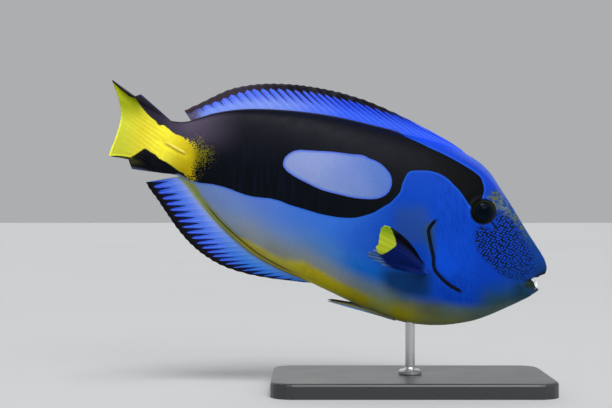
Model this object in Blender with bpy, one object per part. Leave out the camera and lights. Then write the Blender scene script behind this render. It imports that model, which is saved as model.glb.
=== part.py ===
"""Regal blue tang (Paracanthurus hepatus): a still, life-size museum model of the fish on a plain display stand.

The fish is laid out in its own frame and then set into the world frame:
  a  distance behind the tip of the snout, along the body axis
  h  height above the body axis
  w  distance out of the middle plane, positive towards the right flank
World: +X towards the head, +Z up, the right flank faces -Y. The origin is the centre of the underside of the stand's base.
All lengths below are millimetres; the meshes are written in metres.
"""
import math

import bpy
import bmesh
import numpy as np

MM = 0.001

# ---- driving dimensions (mm, degrees) ----
NOSE_DOWN = 17.0            # the body axis dips towards the head
SNOUT_X, SNOUT_Z = 63.7, 56.9   # where the tip of the snout is in the world
GAP = 0.35                  # parting between neighbouring pieces
BEND_START = 135.0          # the tail end curves towards the right flank behind this station
BEND_RATE = 0.008           # growth of the slope of the middle plane per mm
MUZZLE_END = 12.0           # the muzzle is a patch of its own ahead of this station
HEAD_END = 47.0             # head | trunk
TRUNK_END = 166.0           # trunk | tail stalk
STALK_END = 187.5           # tail stalk | caudal fin
EDGE_HALF = 0.5             # half thickness of the keel along back and belly
EYE_A, EYE_H, EYE_W, EYE_R = 37.2, 16.2, 7.7, 6.1
FIN_HALF_BASE, FIN_HALF_EDGE = 0.55, 0.3
BASE_L, BASE_D, BASE_T, BASE_CORNER = 130.0, 76.0, 7.0, 10.0
ROD_R, ROD_SINK, ROD_FOOT = 2.25, 8.0, 4.0

# ---- body stations: (a, value) ----
TOP = [(0, 0.3), (1, 2.7), (3.9, 5.8), (7.7, 9.1), (12, 12.7), (18.1, 18.1), (24.9, 24.2), (31.4, 29.7),
       (38.1, 35.2), (44, 38.3), (49.3, 39.9), (55, 40.9), (63, 41.4), (72, 41.3), (84, 40.5), (96, 39.8),
       (108, 39.1), (118, 38.1), (129, 36.4), (138, 34.6), (150, 31.6), (160, 28.2), (170, 23.3), (176, 19.2),
       (180, 16.6), (184, 15.0), (188, 14.3)]
BOTTOM = [(0, -10.6), (0.9, -11.5), (2.1, -13.4), (7, -18.5), (12, -23.0), (18, -28.2), (24, -32.7), (31, -36.6),
          (39.6, -40.2), (48.6, -42.6), (57, -43.9), (64, -44.1), (73, -43.1), (84, -41.8), (94, -40.3),
          (104, -38.8), (110, -37.7), (119.4, -36.2), (130, -33.9), (141, -29.7), (152.6, -24.0), (165, -16.0),
          (171.5, -11.3), (176.4, -9.0), (180, -9.2), (184, -10.0), (188, -10.6)]
HALF_WIDTH = [(12, 7.2), (18, 9.0), (25, 10.8), (32, 12.4), (40, 13.9), (48, 15.0), (56, 15.6), (66, 15.8),
              (80, 15.5), (95, 14.6), (110, 13.1), (125, 11.1), (140, 9.0), (152, 7.5), (163, 6.2), (172, 5.3),
              (180, 4.6), (188, 4.0)]
BROADEST_H = [(12, -5.0), (20, -3.0), (36, -1.0), (60, -1.0), (100, 0.0), (140, 3.0), (170, 4.5), (188, 2.0)]
# front edge of the muzzle from the chin, round the open mouth, to the tip of the snout: (v, a, h)
MUZZLE_FRONT = [(-1.0, 0.5, -10.6), (-0.86, 0.3, -10.35), (-0.72, 1.0, -9.9), (-0.4, 3.1, -8.4),
                (-0.1, 4.4, -6.7), (0.15, 3.4, -5.7), (0.5, 0.9, -3.6), (0.7, -0.5, -2.4), (0.85, -0.6, -1.2),
                (1.0, 0.0, 0.3)]

# ---- fins ----
DORSAL_BASE = (51.5, 178.8)
DORSAL_EDGE = [(51, 40.9), (55, 42.0), (60.2, 43.6), (65.6, 44.9), (73.4, 46.5), (81.2, 47.9), (91.5, 49.5),
               (99.2, 50.4), (106.7, 50.9), (114.1, 50.9), (121.3, 50.5), (133.2, 49.0), (146.9, 45.8),
               (153.6, 43.5), (160.1, 40.5), (166.3, 36.7), (172, 31.6), (177.7, 26.0), (181.5, 22.5), (183.6, 20.4)]
DORSAL_LEAN = [(51.5, 54.0), (55, 67.0), (60, 81.0), (70, 96.0), (80, 107.0), (100, 124.0), (120, 139.0),
               (140, 155.0), (160, 169.5), (172, 177.8), (178.8, 183.6)]
ANAL_BASE = (103.5, 175.8)
ANAL_EDGE = [(103.5, -39.3), (108.5, -40.1), (113.5, -41.0), (118.2, -41.9), (122.9, -42.7), (127.6, -43.3), (132.4, -43.8),
             (137.3, -44.0), (142.3, -43.9), (147.4, -43.3), (152.8, -42.0), (158.3, -40.1), (164.2, -37.1),
             (170.3, -33.0), (176.9, -27.6), (183.6, -21.9), (187.5, -18.9), (190.2, -16.3)]
ANAL_LEAN = [(103.5, 106.0), (107, 114.5), (111, 123.5), (115, 130.8), (120, 139.5), (130, 152.0), (140, 161.6), (150, 170.5),
             (160, 178.3), (168, 184.2), (172, 187.6), (175.8, 190.2)]
# caudal rays, upper to lower: (v on the stalk, end a, end h, end w)
CAUDAL_RAYS = [(1.0, 201.8, 21.3, 29.4), (0.93, 203.0, 20.3, 31.2), (0.88, 203.5, 19.3, 32.0),
               (0.82, 208.5, 20.5, 39.6), (0.75, 213.7, 23.1, 47.0), (0.62, 211.3, 19.5, 43.3),
               (0.45, 209.2, 16.4, 41.7), (0.25, 207.5, 12.9, 39.8), (0.0, 206.1, 9.4, 39.8),
               (-0.25, 205.3, 5.8, 42.0), (-0.45, 204.9, 1.4, 44.4), (-0.62, 204.7, -3.7, 47.5),
               (-0.75, 204.7, -9.2, 50.6), (-0.82, 200.2, -8.4, 44.0), (-0.88, 197.0, -8.1, 39.4),
               (-0.93, 196.3, -9.8, 39.1), (-1.0, 194.7, -11.8, 37.5)]
# pectoral rays, leading to trailing: (share of the base, end a, end h, end w)
PECTORAL_RAYS = [(0.0, 77.3, -3.3, 50.0), (0.12, 80.3, -3.1, 50.0), (0.22, 82.0, -4.8, 48.5),
                 (0.32, 81.7, -8.2, 46.5), (0.42, 81.0, -11.7, 44.0), (0.52, 82.5, -15.5, 41.0),
                 (0.62, 84.3, -17.3, 37.5), (0.7, 82.1, -18.8, 34.0), (0.78, 77.9, -19.8, 30.5),
                 (0.86, 73.2, -20.6, 27.0), (0.93, 67.3, -20.4, 23.5), (1.0, 61.1, -19.9, 20.0)]
PECTORAL_ROOT = ((55.9, -15.3), (53.6, -19.2))
# pelvic fin: the outer and inner edge from root to tip: (root a, tip a, root w, tip w)
PELVIC_OUTER = (61.5, 93.4, 3.0, 5.8)
PELVIC_INNER = (69.5, 91.5, 3.8, 5.0)



def smooth(knots):
    """Monotone cubic curve through (x, y) stations."""
    x, y = np.array(knots, float).T
    step = np.diff(x)
    slope = np.diff(y) / step
    m = np.zeros(len(x))
    for i in range(1, len(x) - 1):
        if slope[i - 1] * slope[i] > 0:
            w1, w2 = 2 * step[i] + step[i - 1], step[i] + 2 * step[i - 1]
            m[i] = (w1 + w2) / (w1 / slope[i - 1] + w2 / slope[i])
    m[0], m[-1] = slope[0], slope[-1]

    def value(at):
        at = np.asarray(at, float)
        k = np.clip(np.searchsorted(x, at) - 1, 0, len(x) - 2)
        t = np.clip((at - x[k]) / step[k], 0, 1)
        return ((1 + 2 * t) * (1 - t) ** 2 * y[k] + t * (1 - t) ** 2 * step[k] * m[k]
                + t * t * (3 - 2 * t) * y[k + 1] + t * t * (t - 1) * step[k] * m[k + 1])

    return value


top, bottom, half_width, broadest = (smooth(k) for k in (TOP, BOTTOM, HALF_WIDTH, BROADEST_H))
front_a = smooth([(v, a) for v, a, _ in MUZZLE_FRONT])
front_h = smooth([(v, h) for v, _, h in MUZZLE_FRONT])
dorsal_edge, dorsal_lean = smooth(DORSAL_EDGE), smooth(DORSAL_LEAN)
anal_edge, anal_lean = smooth(ANAL_EDGE), smooth(ANAL_LEAN)


def section_h(a, v):
    """Height on the flank at station a, for v from -1 at the belly to 1 at the back."""
    s = np.sin(np.asarray(v) * math.pi / 2)
    c = broadest(a)
    return np.where(s > 0, c + (top(a) - c) * s, c + (c - bottom(a)) * s)


def flank(a, v):
    """(a, h, w) on the right flank behind the muzzle."""
    cosine = np.cos(np.asarray(v) * math.pi / 2)
    power = np.where(np.asarray(v) > 0, 1.04, 1.08)
    w = half_width(a) * np.maximum(cosine, 0) ** power + EDGE_HALF * (1 - cosine)
    return np.stack([np.broadcast_to(a, np.shape(w)) + 0.0 * w, section_h(a, v), w], -1)


def muzzle(d, v):
    """(a, h, w) on the right side of the muzzle, d mm behind its front edge: a patch between the front edge, the profile and the first flank station."""
    v = np.asarray(v, float)
    u = (d / MUZZLE_END) ** 0.8
    aim_a, aim_h = MUZZLE_END, section_h(MUZZLE_END, v)
    t = (v + 1) / 2
    ta, ba = MUZZLE_END * u ** 1.25, 0.5 + (MUZZLE_END - 0.5) * u ** 1.25
    up = np.array([ta, float(top(ta))])
    low = np.array([ba, float(bottom(ba))])
    flat_a = (1 - u) * front_a(v) + u * aim_a + (1 - t) * low[0] + t * up[0]
    flat_h = (1 - u) * front_h(v) + u * aim_h + (1 - t) * low[1] + t * up[1]
    for tt, vv in (((1 - t), -1.0), (t, 1.0)):
        flat_a = flat_a - tt * ((1 - u) * float(front_a(vv)) + u * aim_a)
        flat_h = flat_h - tt * ((1 - u) * float(front_h(vv)) + u * float(section_h(MUZZLE_END, vv)))
    cosine = np.maximum(np.cos(v * math.pi / 2), 0)
    power = 0.4 + (np.where(v > 0, 1.04, 1.08) - 0.4) * u
    w = 7.2 * (d / MUZZLE_END) ** 0.45 * cosine ** power + EDGE_HALF * min(1, d / 2) * (1 - cosine)
    return np.stack([flat_a, flat_h, w], -1)


def bend(p):
    """Curves the tail end towards the right flank."""
    p = np.asarray(p, float)
    a, h, w = p[..., 0], p[..., 1], p[..., 2]
    past = np.maximum(a - BEND_START, 0)
    angle = np.arctan(BEND_RATE * past)
    return np.stack([a - w * np.sin(angle), h, BEND_RATE * past ** 2 / 2 + w * np.cos(angle)], -1)


def world(p):
    """Fish frame (mm) to world frame (m)."""
    p = np.asarray(p, float)
    c, s = math.cos(math.radians(NOSE_DOWN)), math.sin(math.radians(NOSE_DOWN))
    a, h, w = p[..., 0], p[..., 1], p[..., 2]
    return np.stack([SNOUT_X - a * c + h * s, -w, SNOUT_Z + a * s + h * c], -1) * MM


def material(name, colour, roughness, metallic=0.0):
    mat = bpy.data.materials.new(name)
    mat.use_nodes = True
    shader = mat.node_tree.nodes["Principled BSDF"]
    shader.inputs["Base Color"].default_value = (*colour, 1.0)
    shader.inputs["Roughness"].default_value = roughness
    shader.inputs["Metallic"].default_value = metallic
    mat.diffuse_color = (*colour, 1.0)
    return mat


def place(name, bm, mat, smooth_angle=50):
    """Welds, turns the faces outwards and links the mesh as one named object."""
    bmesh.ops.remove_doubles(bm, verts=bm.verts, dist=2e-7)
    bmesh.ops.dissolve_degenerate(bm, edges=bm.edges, dist=1e-7)
    bmesh.ops.triangulate(bm, faces=bm.faces)
    bmesh.ops.recalc_face_normals(bm, faces=bm.faces)
    if bm.calc_volume(signed=True) < 0:
        bmesh.ops.reverse_faces(bm, faces=bm.faces)
    mesh = bpy.data.meshes.new(name)
    bm.to_mesh(mesh)
    bm.free()
    mesh.shade_smooth()
    mesh.set_sharp_from_angle(angle=math.radians(smooth_angle))
    obj = bpy.data.objects.new(name, mesh)
    mesh.materials.append(mat)
    bpy.context.scene.collection.objects.link(obj)
    return obj


def ring_solid(name, rings, mat):
    """A closed skin over rings of points; the end rings are capped where they aren't a single edge."""
    bm = bmesh.new()
    rows = [[bm.verts.new(p) for p in world(bend(ring))] for ring in rings]
    count = len(rows[0])
    for first, second in zip(rows, rows[1:]):
        for i in range(count):
            j = (i + 1) % count
            bm.faces.new((first[i], first[j], second[j], second[i]))
    for row in (rows[0], rows[-1]):
        if np.ptp(np.array([v.co for v in row]), axis=0)[1] > 1e-4:
            bm.faces.new(row)
    return place(name, bm, mat)


def both_sides(points):
    """A ring: up the right flank and down the left."""
    left = points[::-1] * np.array([1, 1, -1])
    return np.concatenate([points, left])


def plate(name, mid, half, mat, normal=None, root=None):
    """A thin closed plate about a grid of middle points (rows x columns, fish frame), half its thickness to each side. Without a given direction it thickens along the grid's own normal, but at its root along the root's."""
    mid = np.asarray(mid, float)
    if normal is None:
        du, dv = np.gradient(mid, axis=0), np.gradient(mid, axis=1)
        n = np.cross(du, dv)
        n /= np.linalg.norm(n, axis=-1, keepdims=True) + 1e-12
        if root is not None:
            n *= np.sign(n @ root)[..., None]
            n[0] = root
            n[1] = (n[1] + root) / 2
    else:
        n = np.broadcast_to(np.asarray(normal, float), mid.shape)
    side = [mid + n * half[..., None], mid - n * half[..., None]]
    bm = bmesh.new()
    sheets = [[[bm.verts.new(p) for p in row] for row in world(s)] for s in side]
    rows, cols = mid.shape[:2]
    for sheet, flip in zip(sheets, (False, True)):
        for i in range(rows - 1):
            for j in range(cols - 1):
                quad = [sheet[i][j], sheet[i][j + 1], sheet[i + 1][j + 1], sheet[i + 1][j]]
                bm.faces.new(quad[::-1] if flip else quad)
    rim = ([(0, j) for j in range(cols)] + [(i, cols - 1) for i in range(1, rows)]
           + [(rows - 1, j) for j in range(cols - 2, -1, -1)] + [(i, 0) for i in range(rows - 2, 0, -1)])
    for (i, j), (k, m) in zip(rim, rim[1:] + rim[:1]):
        bm.faces.new((sheets[0][k][m], sheets[0][i][j], sheets[1][i][j], sheets[1][k][m]))
    return place(name, bm, mat)


def ball(name, centre, radius, mat, around=18, along=11):
    bm = bmesh.new()
    bmesh.ops.create_uvsphere(bm, u_segments=around, v_segments=along, radius=radius * MM)
    # the poles look sideways
    for v in bm.verts:
        v.co = (v.co.x, v.co.z, -v.co.y)
    spot = world(bend(centre))
    for v in bm.verts:
        v.co.x += spot[0]
        v.co.y += spot[1]
        v.co.z += spot[2]
    return place(name, bm, mat)


def rounded_slab(name, length, depth, low, high, corner, chamfer, mat):
    """A flat plate with round corners and a small chamfer round its upper edge."""
    outline = []
    for cx, cy, start in ((1, 1, 0), (-1, 1, 90), (-1, -1, 180), (1, -1, 270)):
        for k in range(7):
            turn = math.radians(start + 15 * k)
            outline.append((cx * (length / 2 - corner), cy * (depth / 2 - corner), math.cos(turn), math.sin(turn)))
    bm = bmesh.new()
    levels = [(low, 0.0), (high - chamfer, 0.0), (high - 0.3 * chamfer, 0.3 * chamfer), (high, chamfer)]
    rows = [[bm.verts.new(((x + (corner - inset) * c) * MM, (y + (corner - inset) * s) * MM, z * MM))
             for x, y, c, s in outline] for z, inset in levels]
    count = len(outline)
    for first, second in zip(rows, rows[1:]):
        for i in range(count):
            j = (i + 1) % count
            bm.faces.new((first[i], first[j], second[j], second[i]))
    bm.faces.new(rows[0])
    bm.faces.new(rows[-1])
    return place(name, bm, mat, 30)


def turned(name, profile, mat, x=0.0, y=0.0, sides=20):
    """A solid turned about a vertical axis from (radius, z) pairs, low to high."""
    bm = bmesh.new()
    rows = [[bm.verts.new(((x + r * math.cos(2 * math.pi * k / sides)) * MM,
                           (y + r * math.sin(2 * math.pi * k / sides)) * MM, z * MM)) for k in range(sides)]
            for r, z in profile]
    for first, second in zip(rows, rows[1:]):
        for i in range(sides):
            j = (i + 1) % sides
            bm.faces.new((first[i], first[j], second[j], second[i]))
    bm.faces.new(rows[0])
    bm.faces.new(rows[-1])
    return place(name, bm, mat, 35)


def cut(obj, cutter):
    cutter.hide_render = True
    cutter.display_type = "WIRE"
    modifier = obj.modifiers.new("cut_" + cutter.name, "BOOLEAN")
    modifier.operation = "DIFFERENCE"
    modifier.solver = "EXACT"
    modifier.object = cutter


for old in list(bpy.data.objects):
    bpy.data.objects.remove(old, do_unlink=True)

MAT = {
    "blue": material("deep_blue_skin", (0.012, 0.085, 0.56), 0.38),
    "flank": material("black_and_blue_skin", (0.03, 0.05, 0.14), 0.42),
    "stalk": material("tail_stalk_skin", (0.32, 0.30, 0.03), 0.42),
    "caudal": material("yellow_fin", (0.85, 0.80, 0.06), 0.45),
    "dorsal": material("dorsal_fin_blue", (0.10, 0.22, 0.86), 0.4),
    "anal": material("anal_fin_blue", (0.13, 0.25, 0.78), 0.4),
    "pectoral": material("pectoral_fin", (0.05, 0.09, 0.20), 0.42),
    "pelvic": material("pelvic_fin", (0.06, 0.11, 0.20), 0.42),
    "eye": material("eye", (0.006, 0.008, 0.012), 0.06),
    "bone": material("scalpel_bone", (0.86, 0.84, 0.52), 0.35),
    "tooth": material("tooth_enamel", (0.80, 0.78, 0.66), 0.3),
    "base": material("stand_lacquer", (0.022, 0.024, 0.027), 0.42),
    "steel": material("stand_steel", (0.56, 0.57, 0.58), 0.28, 1.0),
}

# ---- head, trunk and tail stalk ----
V = np.linspace(-1, 1, 18)
V_HEAD = np.array([-1, -.93, -.86, -.79, -.72, -.6, -.45, -.3, -.2, -.1, 0, .1, .22, .35, .5, .62, .74, .86, .93, 1])
front_rings = [both_sides(muzzle(d, V_HEAD)) for d in (0.0, 0.12, 0.45, 1.0, 1.9, 3.1, 4.6, 6.4, 8.4, 10.3)]
back_rings = [both_sides(flank(a, V_HEAD)) for a in np.linspace(MUZZLE_END, HEAD_END, 12)]
head = ring_solid("head", front_rings + back_rings, MAT["blue"])
trunk = ring_solid("trunk", [both_sides(flank(a, V)) for a in np.linspace(HEAD_END + GAP, TRUNK_END, 31)], MAT["flank"])
ring_solid("tail_stalk", [both_sides(flank(a, V)) for a in np.linspace(TRUNK_END + GAP, STALK_END, 7)], MAT["stalk"])

# ---- eyes, each in a socket of the head ----
for side, sign in (("R", 1), ("L", -1)):
    centre = (EYE_A, EYE_H, sign * EYE_W)
    ball("eye_" + side, centre, EYE_R, MAT["eye"])
    cut(head, ball("socket_" + side, centre, EYE_R + GAP, MAT["eye"]))

# ---- dorsal and anal fins: rays leaning back from the base line to the outer edge ----
for name, base, edge, lean, line, up, mat in (
        ("dorsal_fin", DORSAL_BASE, dorsal_edge, dorsal_lean, top, 1, "dorsal"),
        ("anal_fin", ANAL_BASE, anal_edge, anal_lean, bottom, -1, "anal")):
    b = np.linspace(*base, 40 if up > 0 else 30)
    out = lean(b)
    root = np.stack([b, line(b) + up * (GAP + 0.05)], -1)
    tip = np.stack([out, edge(out)], -1)
    share = np.array([0.0, 0.3, 0.65, 1.0])[:, None, None]
    flat = root + share * (tip - root)
    # the straight chord of a leaning ray never dips under the base line
    floor = line(flat[..., 0]) + up * (GAP + 0.05)
    on_body = flat[..., 0] < STALK_END
    flat[..., 1] = np.where(on_body, up * np.maximum(up * flat[..., 1], up * floor), flat[..., 1])
    half = np.broadcast_to(FIN_HALF_BASE + (FIN_HALF_EDGE - FIN_HALF_BASE) * share[..., 0], flat.shape[:2])
    past = np.maximum(flat[..., 0] - BEND_START, 0)
    turn = np.arctan(BEND_RATE * past)
    mid = bend(np.concatenate([flat, np.zeros(flat.shape[:2] + (1,))], -1))
    plate(name, mid, half, MAT[mat], np.stack([-np.sin(turn), 0 * turn, np.cos(turn)], -1))

# ---- caudal fin: rays fanning out of the stalk and sweeping towards the right flank ----
ray_v = np.array([r[0] for r in CAUDAL_RAYS])
start = bend(np.stack([np.full(len(ray_v), STALK_END + GAP + 0.25), section_h(STALK_END, ray_v), 0 * ray_v], -1))
ends = np.array([r[1:] for r in CAUDAL_RAYS])
share = np.linspace(0, 1, 9)[:, None]
reach = ends - start
lead = np.clip(BEND_RATE * (STALK_END - BEND_START) * np.abs(reach[:, 0]) / reach[:, 2], 0.1, 0.6)
# the long lower rays bow upwards
bow = 9.2 * share * (1 - share) * np.exp(-((ray_v + 0.75) / 0.12) ** 2)
caudal = np.stack([start[:, 0] + share * reach[:, 0],
                   start[:, 1] + share * reach[:, 1] + bow,
                   start[:, 2] + reach[:, 2] * (lead * share + (1 - lead) * share ** 2)], -1)
thick = 0.3 + 3.1 * (1 - share) ** 3.2 * np.sqrt(np.clip(1 - ray_v ** 2, 0.03, 1))
turn = math.atan(BEND_RATE * (STALK_END - BEND_START))
plate("caudal_fin", caudal, thick, MAT["caudal"], root=np.array([-math.sin(turn), 0.0, math.cos(turn)]))

# ---- pectoral fins: fans standing out from the flanks ----
ray_t = np.array([r[0] for r in PECTORAL_RAYS])
ends = np.array([r[1:] for r in PECTORAL_RAYS])
(r0a, r0h), (r1a, r1h) = PECTORAL_ROOT
root_a, root_h = r0a + ray_t * (r1a - r0a), r0h + ray_t * (r1h - r0h)
start = np.stack([root_a, root_h, half_width(root_a) * 0.955 + 1.15], -1)
share = np.linspace(0, 1, 7)[:, None]
fan = start[None] + share[..., None] * (ends - start)[None]
fan[..., 2] += 4.0 * np.sin(math.pi * share) * (1 - 0.5 * ray_t)
fan[..., 1] += 1.7 * np.sin(math.pi * share) * (1 - ray_t)
thick = 0.28 + 0.75 * (1 - share) ** 3 + 0 * ray_t
plate("pectoral_fin_R", fan, thick, MAT["pectoral"])
plate("pectoral_fin_L", fan * np.array([1, 1, -1]), thick, MAT["pectoral"])

# ---- pelvic fins: narrow blades folded back under the belly ----
ray_t = np.linspace(0, 1, 6)
share = np.linspace(0, 1, 9)[:, None]
outer_a, outer_w = (PELVIC_OUTER[k] + share * (PELVIC_OUTER[k + 1] - PELVIC_OUTER[k]) for k in (0, 2))
inner_a, inner_w = (PELVIC_INNER[k] + share * (PELVIC_INNER[k + 1] - PELVIC_INNER[k]) for k in (0, 2))
outer_h = -44.6 + 0.15 * share
inner_h = np.where(inner_a < 82, bottom(inner_a) - 0.15, float(bottom(82.0)) - 0.15 - (inner_a - 82) * 0.16)
blade = np.stack([outer_a + ray_t * (inner_a - outer_a), outer_h + ray_t * (inner_h - outer_h),
                  outer_w + ray_t * (inner_w - outer_w) + 0.5 * np.sin(math.pi * ray_t)], -1)
thick = 0.27 + 0.2 * (1 - share) + 0 * ray_t
plate("pelvic_fin_R", blade, thick, MAT["pelvic"])
plate("pelvic_fin_L", blade * np.array([1, 1, -1]), thick, MAT["pelvic"])

# ---- scalpels: the folded spine on each side of the tail stalk ----
for side, sign in (("R", 1), ("L", -1)):
    along = np.linspace(0, 1, 9)
    line = np.stack([178.2 + 9.0 * along, 2.15 + 1.7 * along, 0 * along], -1)
    wide = 0.22 + 0.62 * np.sin(math.pi * (0.12 + 0.8 * along ** 0.8))
    rows = []
    for k in (-1.0, -0.4, 0.4, 1.0):
        at = line.copy()
        at[:, 1] += k * wide
        at[:, 2] = sign * (half_width(at[:, 0]) + GAP + 0.3 + 0.3 * (1 - k * k))
        rows.append(bend(at))
    plate("scalpel_" + side, np.array(rows), np.full((4, 9), 0.3), MAT["bone"])

# ---- lower teeth: a close row along the lower jaw ----
swing = np.linspace(-1, 1, 11)
bow = np.abs(swing) ** 1.78
jaw = np.stack([0.6 + 1.45 * bow, -9.1 - 1.0 * bow, 1.75 * swing], -1)
rows = np.array([jaw, jaw + np.array([0.7, 1.05, 0]), jaw + np.array([1.35, 1.95, 0])])
plate("teeth_lower", rows, np.full(rows.shape[:2], 0.27), MAT["tooth"])

# ---- display stand ----
belly_a = 53.4
belly_z = SNOUT_Z + belly_a * math.sin(math.radians(NOSE_DOWN)) + float(bottom(belly_a)) * math.cos(math.radians(NOSE_DOWN))
base = rounded_slab("stand_base", BASE_L, BASE_D, 0.0, BASE_T, BASE_CORNER, 1.2, MAT["base"])
turned("stand_rod", [(ROD_R, BASE_T - ROD_FOOT), (ROD_R, BASE_T + GAP), (5.5, BASE_T + GAP), (5.5, BASE_T + 1.6),
                     (4.7, BASE_T + 2.3), (ROD_R + 0.5, BASE_T + 2.7), (ROD_R, BASE_T + 3.4),
                     (ROD_R, belly_z + ROD_SINK - 0.8), (ROD_R - 0.8, belly_z + ROD_SINK)], MAT["steel"])
cut(base, turned("foot_hole", [(ROD_R + GAP, BASE_T - ROD_FOOT - GAP), (ROD_R + GAP, BASE_T + 5)], MAT["base"]))
cut(trunk, turned("belly_hole", [(ROD_R + GAP, belly_z - 15), (ROD_R + GAP, belly_z + ROD_SINK + GAP)], MAT["flank"]))
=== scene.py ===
"""Looks for the regal blue tang on its display stand: one skin over the whole fish, eyes, teeth and tail spines of their own, and a plain studio."""
import math

import bpy
import numpy as np
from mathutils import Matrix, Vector

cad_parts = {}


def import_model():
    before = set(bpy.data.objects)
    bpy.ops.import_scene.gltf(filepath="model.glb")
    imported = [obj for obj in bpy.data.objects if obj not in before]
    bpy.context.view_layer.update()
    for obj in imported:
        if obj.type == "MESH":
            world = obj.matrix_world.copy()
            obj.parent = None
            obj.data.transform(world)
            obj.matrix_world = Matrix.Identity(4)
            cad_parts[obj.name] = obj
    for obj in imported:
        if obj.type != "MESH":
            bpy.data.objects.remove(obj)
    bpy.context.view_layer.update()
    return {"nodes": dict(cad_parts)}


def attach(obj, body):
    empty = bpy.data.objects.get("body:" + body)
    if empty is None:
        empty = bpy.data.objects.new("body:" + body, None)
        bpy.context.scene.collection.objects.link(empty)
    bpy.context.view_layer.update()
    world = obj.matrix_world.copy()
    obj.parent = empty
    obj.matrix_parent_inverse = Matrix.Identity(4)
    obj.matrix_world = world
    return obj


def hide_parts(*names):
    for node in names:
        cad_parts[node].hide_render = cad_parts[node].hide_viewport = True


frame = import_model()
NODES = frame["nodes"]
MM = 0.001

# ------------------------------------------------------------------ shape of the fish, as in the solids
NOSE_DOWN = 17.0
SNOUT_X, SNOUT_Z = 63.7, 56.9
BEND_START, BEND_RATE = 135.0, 0.008
MUZZLE_END = 12.0
STALK_END = 187.5
EDGE_HALF = 0.5
EYE_A, EYE_H, EYE_W, EYE_R = 37.2, 16.2, 7.7, 6.1

TOP = [(0, 0.3), (1, 2.7), (3.9, 5.8), (7.7, 9.1), (12, 12.7), (18.1, 18.1), (24.9, 24.2), (31.4, 29.7),
       (38.1, 35.2), (44, 38.3), (49.3, 39.9), (55, 40.9), (63, 41.4), (72, 41.3), (84, 40.5), (96, 39.8),
       (108, 39.1), (118, 38.1), (129, 36.4), (138, 34.6), (150, 31.6), (160, 28.2), (170, 23.3), (176, 19.2),
       (180, 16.6), (184, 15.0), (188, 14.3)]
BOTTOM = [(0, -10.6), (0.9, -11.5), (2.1, -13.4), (7, -18.5), (12, -23.0), (18, -28.2), (24, -32.7), (31, -36.6),
          (39.6, -40.2), (48.6, -42.6), (57, -43.9), (64, -44.1), (73, -43.1), (84, -41.8), (94, -40.3),
          (104, -38.8), (110, -37.7), (119.4, -36.2), (130, -33.9), (141, -29.7), (152.6, -24.0), (165, -16.0),
          (171.5, -11.3), (176.4, -9.0), (180, -9.2), (184, -10.0), (188, -10.6)]
HALF_WIDTH = [(12, 7.2), (18, 9.0), (25, 10.8), (32, 12.4), (40, 13.9), (48, 15.0), (56, 15.6), (66, 15.8),
              (80, 15.5), (95, 14.6), (110, 13.1), (125, 11.1), (140, 9.0), (152, 7.5), (163, 6.2), (172, 5.3),
              (180, 4.6), (188, 4.0)]
BROADEST_H = [(12, -5.0), (20, -3.0), (36, -1.0), (60, -1.0), (100, 0.0), (140, 3.0), (170, 4.5), (188, 2.0)]
MUZZLE_FRONT = [(-1.0, 0.5, -10.6), (-0.86, 0.3, -10.35), (-0.72, 1.0, -9.9), (-0.4, 3.1, -8.4),
                (-0.1, 4.4, -6.7), (0.15, 3.4, -5.7), (0.5, 0.9, -3.6), (0.7, -0.5, -2.4), (0.85, -0.6, -1.2),
                (1.0, 0.0, 0.3)]
DORSAL_BASE = (51.5, 178.8)
DORSAL_EDGE = [(51, 40.9), (55, 42.0), (60.2, 43.6), (65.6, 44.9), (73.4, 46.5), (81.2, 47.9), (91.5, 49.5),
               (99.2, 50.4), (106.7, 50.9), (114.1, 50.9), (121.3, 50.5), (133.2, 49.0), (146.9, 45.8),
               (153.6, 43.5), (160.1, 40.5), (166.3, 36.7), (172, 31.6), (177.7, 26.0), (181.5, 22.5), (183.6, 20.4)]
DORSAL_LEAN = [(51.5, 54.0), (55, 67.0), (60, 81.0), (70, 96.0), (80, 107.0), (100, 124.0), (120, 139.0),
               (140, 155.0), (160, 169.5), (172, 177.8), (178.8, 183.6)]
ANAL_BASE = (103.5, 175.8)
ANAL_EDGE = [(103.5, -39.3), (108.5, -40.1), (113.5, -41.0), (118.2, -41.9), (122.9, -42.7), (127.6, -43.3), (132.4, -43.8),
             (137.3, -44.0), (142.3, -43.9), (147.4, -43.3), (152.8, -42.0), (158.3, -40.1), (164.2, -37.1),
             (170.3, -33.0), (176.9, -27.6), (183.6, -21.9), (187.5, -18.9), (190.2, -16.3)]
ANAL_LEAN = [(103.5, 106.0), (107, 114.5), (111, 123.5), (115, 130.8), (120, 139.5), (130, 152.0), (140, 161.6), (150, 170.5),
             (160, 178.3), (168, 184.2), (172, 187.6), (175.8, 190.2)]
CAUDAL_RAYS = [(1.0, 201.8, 21.3, 29.4), (0.93, 203.0, 20.3, 31.2), (0.88, 203.5, 19.3, 32.0),
               (0.82, 208.5, 20.5, 39.6), (0.75, 213.7, 23.1, 47.0), (0.62, 211.3, 19.5, 43.3),
               (0.45, 209.2, 16.4, 41.7), (0.25, 207.5, 12.9, 39.8), (0.0, 206.1, 9.4, 39.8),
               (-0.25, 205.3, 5.8, 42.0), (-0.45, 204.9, 1.4, 44.4), (-0.62, 204.7, -3.7, 47.5),
               (-0.75, 204.7, -9.2, 50.6), (-0.82, 200.2, -8.4, 44.0), (-0.88, 197.0, -8.1, 39.4),
               (-0.93, 196.3, -9.8, 39.1), (-1.0, 194.7, -11.8, 37.5)]
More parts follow.
